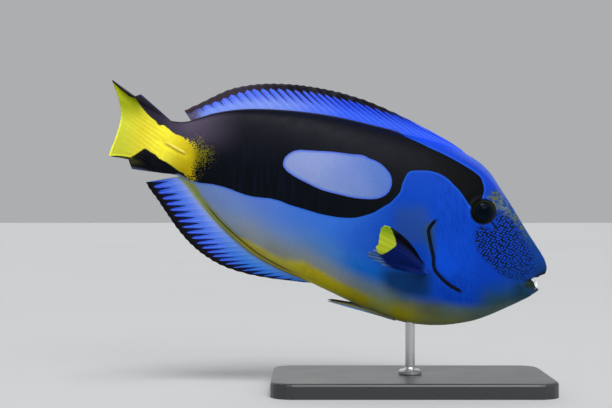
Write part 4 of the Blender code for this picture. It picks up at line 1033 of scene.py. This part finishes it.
def pectoral_material():
    n = Nodes("tang_pectoral")
    m, s = n.math, n.step
    jitter = m("MULTIPLY", m("SUBTRACT", n.noise(1400, 2), 0.5), 0.6)
    patch = m("ADD", n.attr("patch"), jitter)
    ray = n.attr("ray")
    phase = m("ABSOLUTE", m("SUBTRACT", m("FRACT", ray), 0.5))
    lead = n.attr("lead")
    out = n.attr("out")
    blade = n.mix(s(m("ADD", lead, m("MULTIPLY", out, -0.12)), 0.10, 0.28), hex_linear("#060608"), hex_linear("#021c66"))
    blade = n.mix(m("MULTIPLY", s(phase, 0.3, 0.0), 0.25), blade, hex_linear("#03103a"))
    blade = n.mix(s(out, 0.14, 0.03), blade, hex_linear("#0c3da0"))
    blade = n.mix(s(lead, 0.035, 0.01), blade, hex_linear("#050508"))
    veil = s(n.attr("veil"), -0.9, 1.2)
    blade = n.mix(m("MULTIPLY", veil, 0.9), blade, n.mix(s(phase, 0.3, 0.05), hex_linear("#3463ac"), hex_linear("#7396cf")))
    yellow = n.mix(s(phase, 0.35, 0.05), hex_linear("#cddc34"), hex_linear("#bccf2e"))
    yellow = n.mix(s(n.attr("y"), 240, 228), yellow, hex_linear("#9cc01c"))
    colour = n.mix(s(patch, -0.2, 0.2), blade, yellow)
    n.to(n.shader.inputs["Base Color"], colour)
    n.to(n.shader.inputs["Normal"], n.bump(n.noise(1300, 3), 0.00006, 0.6))
    n.to(n.shader.inputs["Roughness"], m("ADD", 0.36, m("MULTIPLY", n.noise(300, 2), 0.12)))
    n.shader.inputs["Specular IOR Level"].default_value = 0.08
    return n.mat


def pelvic_material():
    n = Nodes("tang_pelvic")
    m, s = n.math, n.step
    ray = n.attr("ray")
    phase = m("ABSOLUTE", m("SUBTRACT", m("FRACT", ray), 0.5))
    across = n.attr("across")
    colour = n.mix(s(across, 0.80, 0.66), hex_linear("#140f04"), hex_linear("#5a521c"))
    colour = n.mix(s(across, 0.58, 0.40), colour, hex_linear("#6a7260"))
    colour = n.mix(s(across, 0.38, 0.18), colour, hex_linear("#4c8cc4"))
    colour = n.mix(m("MULTIPLY", s(phase, 0.3, 0.05), 0.2), colour, hex_linear("#0a1020"))
    colour = n.mix(m("MULTIPLY", s(n.attr("out"), 0.5, 0.1), 0.85), colour, hex_linear("#55584a"))
    n.to(n.shader.inputs["Base Color"], colour)
    n.to(n.shader.inputs["Normal"], n.bump(n.noise(1300, 3), 0.00006, 0.6))
    n.to(n.shader.inputs["Roughness"], m("ADD", 0.36, m("MULTIPLY", n.noise(300, 2), 0.12)))
    n.shader.inputs["Specular IOR Level"].default_value = 0.16
    return n.mat


PECTORAL = pectoral_material()
PELVIC = pelvic_material()
PATCH = [(382, 225), (386, 224), (390.5, 227.3), (393.5, 234), (395.5, 240), (396, 244.5), (393.5, 247.5), (389, 250.5),
         (385, 253), (381, 254), (378, 252.5), (376.6, 249.5), (375, 244), (373, 236), (375, 228)]
VEIL = [(377, 247), (379, 254), (382, 258), (386, 264), (392, 269), (380, 272), (360, 262), (358, 248), (368, 244)]
COLS, ROWS_P = 53, 30
t = np.linspace(0, 1, COLS)
ray_t = np.array([r[0] for r in PECTORAL_RAYS])
ends = np.array([r[1:] for r in PECTORAL_RAYS])
end = np.stack([smooth(list(zip(ray_t, ends[:, k])))(t) for k in range(3)], -1)
(r0a, r0h), (r1a, r1h) = PECTORAL_ROOT
root_a, root_h = r0a + t * (r1a - r0a), r0h + t * (r1h - r0h)
start = np.stack([root_a, root_h, half_width(root_a) * 0.955 - 1.2], -1)
share = np.linspace(0, 1, ROWS_P)[:, None]
rays = 13 * t
notch = 0.5 - 0.5 * np.cos(2 * math.pi * rays)
reach = 1 - 0.007 * notch * (t > 0.03)
fan = start[None] + share[..., None] * ((end - start) * reach[:, None])[None]
fan[..., 2] += 4.0 * np.sin(math.pi * share) * (1 - 0.5 * t)
fan[..., 1] += 1.7 * np.sin(math.pi * share) * (1 - t)
thick = 0.15 + 1.0 * (1 - share) ** 4 + 0.06 * np.cos(2 * math.pi * rays)[None] * (1 - 0.6 * share) * ease(share * 6)
thick = thick * (1 - 0.55 * bell(t, 0.012) - 0.55 * bell(t - 1, 0.012))[None]
seen = elevation(world(fan)).reshape(-1, 2)
attributes = {"patch": inside_distance(seen, PATCH), "veil": inside_distance(seen, VEIL), "y": seen[:, 1],
              "ray": np.broadcast_to(rays, share.shape[:1] + rays.shape), "lead": np.broadcast_to(t, share.shape[:1] + t.shape),
              "out": np.broadcast_to(share, (ROWS_P, COLS))}
paired = []
for name, sign in (("R", 1), ("L", -1)):
    paired.append(fin_plate("pectoral_" + name, fan * np.array([1, 1, sign]) if sign > 0 else (fan * np.array([1, 1, -1]))[:, ::-1], thick if sign > 0 else thick[:, ::-1], [PECTORAL],
                            attributes if sign > 0 else {k: np.asarray(v).reshape(ROWS_P, COLS)[:, ::-1] for k, v in attributes.items()}))

COLS, ROWS_P = 25, 34
t = np.linspace(0, 1, COLS)
share = np.linspace(0, 1, ROWS_P)[:, None]
low_a, low_h = 60.5 + 32.9 * share, -43.6 - 0.85 * np.sin(math.pi * share * 0.5)
high_a = 69.5 + 22.0 * share
high_h = np.where(high_a < 82, bottom(high_a) - 0.15, bottom(82.0) - 0.15 - (high_a - 82) * 0.16)
low_w, high_w = 2.6 + 3.2 * share, 3.4 + 1.6 * share
blade = np.stack([low_a + t * (high_a - low_a), low_h + t * (high_h - low_h), low_w + t * (high_w - low_w) + 0.5 * np.sin(math.pi * t)], -1)
rays = 6 * t
thick = 0.13 + 0.45 * (1 - share) ** 3 + 0.1 * np.cos(2 * math.pi * rays)[None] * (1 - 0.5 * share)
attributes = {"across": np.broadcast_to(t, (ROWS_P, COLS)), "ray": np.broadcast_to(rays, (ROWS_P, COLS)), "out": np.broadcast_to(share, (ROWS_P, COLS))}
for name, sign in (("R", 1), ("L", -1)):
    paired.append(fin_plate("pelvic_" + name, blade * np.array([1, 1, sign]) if sign > 0 else (blade * np.array([1, 1, -1]))[:, ::-1], thick if sign > 0 else thick[:, ::-1], [PELVIC],
                            attributes if sign > 0 else {k: np.asarray(v)[:, ::-1] for k, v in attributes.items()}))

bpy.ops.object.select_all(action="DESELECT")
for obj in paired + [skin]:
    obj.select_set(True)
bpy.context.view_layer.objects.active = skin
bpy.ops.object.join()
skin.name = "skin"
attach(skin, "root")
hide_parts("head", "trunk", "tail_stalk", "caudal_fin", "dorsal_fin", "anal_fin", "pectoral_fin_R", "pectoral_fin_L",
            "pelvic_fin_R", "pelvic_fin_L")

# ------------------------------------------------------------------ eyes


def lathe(name, profile, mats, centre, axis, segments=72, indices=None):
    """A surface turned about an axis (world) from (radius, out) pairs in mm."""
    axis = np.array(axis, float)
    axis /= np.linalg.norm(axis)
    side = np.cross(axis, [0, 0, 1.0])
    side /= np.linalg.norm(side)
    up = np.cross(side, axis)
    pts, out, index = [], [], []
    rows = []
    for k, (r, z) in enumerate(profile):
        if r < 1e-6:
            rows.append([len(pts)] * segments)
            pts.append(centre + axis * z * MM)
            continue
        row = []
        for i in range(segments):
            turn = 2 * math.pi * i / segments
            row.append(len(pts))
            pts.append(centre + (axis * z + (side * math.cos(turn) + up * math.sin(turn)) * r) * MM)
        rows.append(row)
    for k, (a, b) in enumerate(zip(rows, rows[1:])):
        for i in range(segments):
            j = (i + 1) % segments
            corners = []
            for c in (a[i], a[j], b[j], b[i]):
                if c not in corners:
                    corners.append(c)
            if len(corners) > 2:
                out.append(corners)
                index.append(indices[k] if indices else 0)
    obj = mesh_object(name, np.array(pts), out, mats, None, index)
    return obj


def eye_material():
    n = Nodes("tang_eye")
    m, s = n.math, n.step
    ring = n.attr("radius")
    streak = n.noise(650, 4)
    wobble = m("MULTIPLY", m("SUBTRACT", streak, 0.5), 0.7)
    colour = n.mix(s(ring, 2.75, 2.95), hex_linear("#010810"), hex_linear("#040f1e"))
    colour = n.mix(s(m("ADD", ring, wobble), 3.6, 4.3), colour, hex_linear("#070b0a"))
    colour = n.mix(s(m("ADD", ring, wobble), 4.35, 4.75), colour, hex_linear("#222b12"))
    colour = n.mix(s(ring, 5.0, 5.3), colour, hex_linear("#0a0f0c"))
    n.to(n.shader.inputs["Base Color"], colour)
    n.to(n.shader.inputs["Roughness"], m("ADD", 0.05, m("MULTIPLY", streak, 0.05)))
    n.shader.inputs["Specular IOR Level"].default_value = 0.03
    return n.mat


EYE = eye_material()
for side, sign in (("R", 1), ("L", -1)):
    centre = world(bend(np.array([EYE_A, EYE_H, sign * EYE_W])))
    # the eye looks out sideways, slightly forwards and up
    axis = np.array([0.10, -sign * 1.0, 0.07])
    ball = [(0.0, -EYE_R)] + [(EYE_R * math.cos(f), EYE_R * math.sin(f)) for f in np.linspace(-math.pi / 2 + 0.15, 0.5, 24)]
    # the clear front is painted: a ring groove, then a dome over iris and pupil
    dome = [(5.12, 3.28), (4.98, 3.42)] + [(4.85 * math.cos(f), 3.42 + 2.15 * math.sin(f)) for f in np.linspace(0.06, math.pi / 2 - 0.04, 22)] + [(0.0, 5.57)]
    eye = lathe("eye_ball_" + side, ball + dome, [EYE], centre, axis)
    # distance from the eye's axis paints the rings
    count = len(eye.data.vertices)
    co = np.empty(count * 3)
    eye.data.vertices.foreach_get("co", co)
    rel = co.reshape(-1, 3) - centre
    unit = axis / np.linalg.norm(axis)
    radial = np.linalg.norm(rel - np.outer(rel @ unit, unit), axis=1) / MM
    layer = eye.data.attributes.new("radius", "FLOAT", "POINT")
    layer.data.foreach_set("value", radial.astype(np.float32))
    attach(eye, "root")
    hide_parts("eye_" + side)

# ------------------------------------------------------------------ teeth: a close row of small incisors round the lower jaw


def bone_material(name, light, dark, scale=400):
    n = Nodes(name)
    grain = n.noise(scale, 4)
    n.to(n.shader.inputs["Base Color"], n.mix(grain, hex_linear(light), hex_linear(dark)))
    n.to(n.shader.inputs["Roughness"], n.math("ADD", 0.22, n.math("MULTIPLY", grain, 0.25)))
    n.to(n.shader.inputs["Normal"], n.bump(grain, 0.00005, 0.4))
    return n.mat


TOOTH = bone_material("tang_tooth", "#f2f4f2", "#dde4e8", 600)
pts, quads = [], []
for k, swing in enumerate(np.linspace(-1, 1, 11)):
    bow = abs(swing) ** 1.78
    foot = np.array([0.7 + 1.45 * bow, -10.05 - 1.0 * bow, 1.75 * swing])
    tip = foot + np.array([1.95, 3.05, 0.0]) * (1 - 0.14 * abs(swing))
    across = np.array([0.55 * abs(swing) * 1.2, 0.3 * abs(swing), 1.0])
    across /= np.linalg.norm(across)
    across *= 1 if swing >= 0 else np.array([1, 1, 1])
    if swing < 0:
        across = np.array([-across[0], -across[1], across[2]])
    along = (tip - foot) / np.linalg.norm(tip - foot)
    thick_way = np.cross(along, across)
    base = len(pts)
    for f, width, depth in ((0.0, 0.17, 0.26), (0.35, 0.2, 0.32), (0.7, 0.215, 0.27), (0.9, 0.18, 0.17), (1.0, 0.1, 0.07)):
        c = foot + f * (tip - foot)
        for i in range(8):
            turn = 2 * math.pi * i / 8
            pts.append(world(c + across * width * math.cos(turn) + thick_way * depth * math.sin(turn)))
    for level in range(4):
        for i in range(8):
            j = (i + 1) % 8
            quads.append((base + level * 8 + i, base + level * 8 + j, base + level * 8 + 8 + j, base + level * 8 + 8 + i))
    quads.append(tuple(base + 32 + i for i in range(8)))
    quads.append(tuple(base + 7 - i for i in range(8)))
teeth = mesh_object("teeth", np.array(pts), quads, [TOOTH])
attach(teeth, "root")
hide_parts("teeth_lower")

# ------------------------------------------------------------------ tail spines
SPINE = bone_material("tang_spine", "#f4e660", "#e2cc3e", 500)
for side, sign in (("R", 1), ("L", -1)):
    along = np.linspace(0, 1, 40)
    line = np.stack([178.2 + 10.6 * along, 2.15 + 2.0 * along, 0 * along], -1)
    wide = 0.08 + 0.66 * np.sin(math.pi * (0.06 + 0.86 * along ** 0.75))
    rows = []
    for i in range(16):
        turn = 2 * math.pi * i / 16
        at = line.copy()
        at[:, 1] += wide * math.cos(turn)
        at[:, 2] = sign * (half_width(at[:, 0]) + 0.18 + 0.42 * np.sin(math.pi * np.clip(along, 0.02, 0.98)) ** 0.6 * math.sin(turn) * (1 if math.sin(turn) > 0 else 0.6))
        rows.append(bend(at))
    pts = world(np.array(rows))
    ids = np.arange(16 * 40).reshape(16, 40)
    quads = [(ids[i, j], ids[(i + 1) % 16, j], ids[(i + 1) % 16, j + 1], ids[i, j + 1]) for i in range(16) for j in range(39)]
    quads += [tuple(ids[::-1, 0]), tuple(ids[:, -1])]
    if sign < 0:
        quads = [q[::-1] for q in quads]
    spine = mesh_object("tail_spine_" + side, pts.reshape(-1, 3), quads, [SPINE])
    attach(spine, "root")
    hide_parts("scalpel_" + side)

# ------------------------------------------------------------------ stand


def lacquer():
    n = Nodes("stand_lacquer")
    grain = n.noise(900, 5, 0.6)
    n.to(n.shader.inputs["Base Color"], n.mix(grain, (0.016, 0.017, 0.019), (0.028, 0.029, 0.032)))
    n.to(n.shader.inputs["Roughness"], n.math("ADD", 0.34, n.math("MULTIPLY", n.noise(60, 4), 0.12)))
    n.to(n.shader.inputs["Normal"], n.bump(grain, 0.00003, 0.5))
    n.shader.inputs["Coat Weight"].default_value = 0.2
    n.shader.inputs["Coat Roughness"].default_value = 0.3
    return n.mat


def steel():
    n = Nodes("stand_steel")
    around = n.new("ShaderNodeMapping")
    n.to(around.inputs["Vector"], n.place())
    around.inputs["Scale"].default_value = (60.0, 60.0, 2600.0)
    lines = n.noise(1.0, 3, where=around.outputs[0])
    n.to(n.shader.inputs["Base Color"], n.mix(lines, (0.50, 0.51, 0.52), (0.64, 0.65, 0.66)))
    n.shader.inputs["Metallic"].default_value = 1.0
    n.to(n.shader.inputs["Roughness"], n.math("ADD", 0.24, n.math("MULTIPLY", lines, 0.16)))
    n.to(n.shader.inputs["Normal"], n.bump(lines, 0.00002, 0.4))
    return n.mat


for name, mat in (("stand_base", lacquer()), ("stand_rod", steel())):
    mesh = NODES[name].data
    mesh.materials.clear()
    mesh.materials.append(mat)

# ------------------------------------------------------------------ studio
floor_mat = Nodes("studio_floor")
floor_mat.to(floor_mat.shader.inputs["Base Color"], floor_mat.mix(floor_mat.noise(3, 3), (0.54, 0.545, 0.55), (0.58, 0.585, 0.59)))
floor_mat.shader.inputs["Roughness"].default_value = 0.7
floor_mat.shader.inputs["Specular IOR Level"].default_value = 0.2
floor = mesh_object("floor", [(-6, -6, 0), (6, -6, 0), (6, 6, 0), (-6, 6, 0)], [(0, 1, 2, 3)], [floor_mat.mat], flat=True)

world_data = bpy.data.worlds.new("studio")
bpy.context.scene.world = world_data
world_data.use_nodes = True
world_data.node_tree.nodes["Background"].inputs["Color"].default_value = (0.80, 0.815, 0.83, 1)
world_data.node_tree.nodes["Background"].inputs["Strength"].default_value = 0.52


def aim(obj, at, to):
    obj.location = at
    obj.rotation_euler = (Vector(to) - Vector(at)).to_track_quat("-Z", "Y").to_euler()
    return obj


def area(name, at, to, size, power):
    light = bpy.data.lights.new(name, "AREA")
    light.shape = "RECTANGLE"
    light.size, light.size_y = size
    light.energy = power
    return aim(link(bpy.data.objects.new(name, light)), at, to)


def sky(name, at, strength, angle):
    light = bpy.data.lights.new(name, "SUN")
    light.energy = strength
    light.angle = math.radians(angle)
    return aim(link(bpy.data.objects.new(name, light)), at, (0, 0, 0))


sky("key", (0.10, -0.72, 1.0), 1.95, 24)
sky("fill", (0.9, -0.5, 0.5), 0.35, 60)
sky("rear", (-0.3, 0.9, 0.6), 0.45, 70)
area("softbox", (0.30, -0.85, 0.60), (-0.04, 0, 0.09), (0.5, 0.35), 2.2)

camera_data = bpy.data.cameras.new("camera")
camera = link(bpy.data.objects.new("camera", camera_data))
camera.location = (VIEW_WORLD_X * MM, -EYE_DISTANCE * MM, VIEW_Z * MM)
camera.rotation_euler = (math.radians(90), 0, 0)
camera_data.sensor_width = 36.0
camera_data.lens = 36.0 * EYE_DISTANCE / (612 * UNIT)
camera_data.clip_start = 0.01
bpy.context.scene.camera = camera
bpy.context.scene.view_settings.view_transform = "Standard"
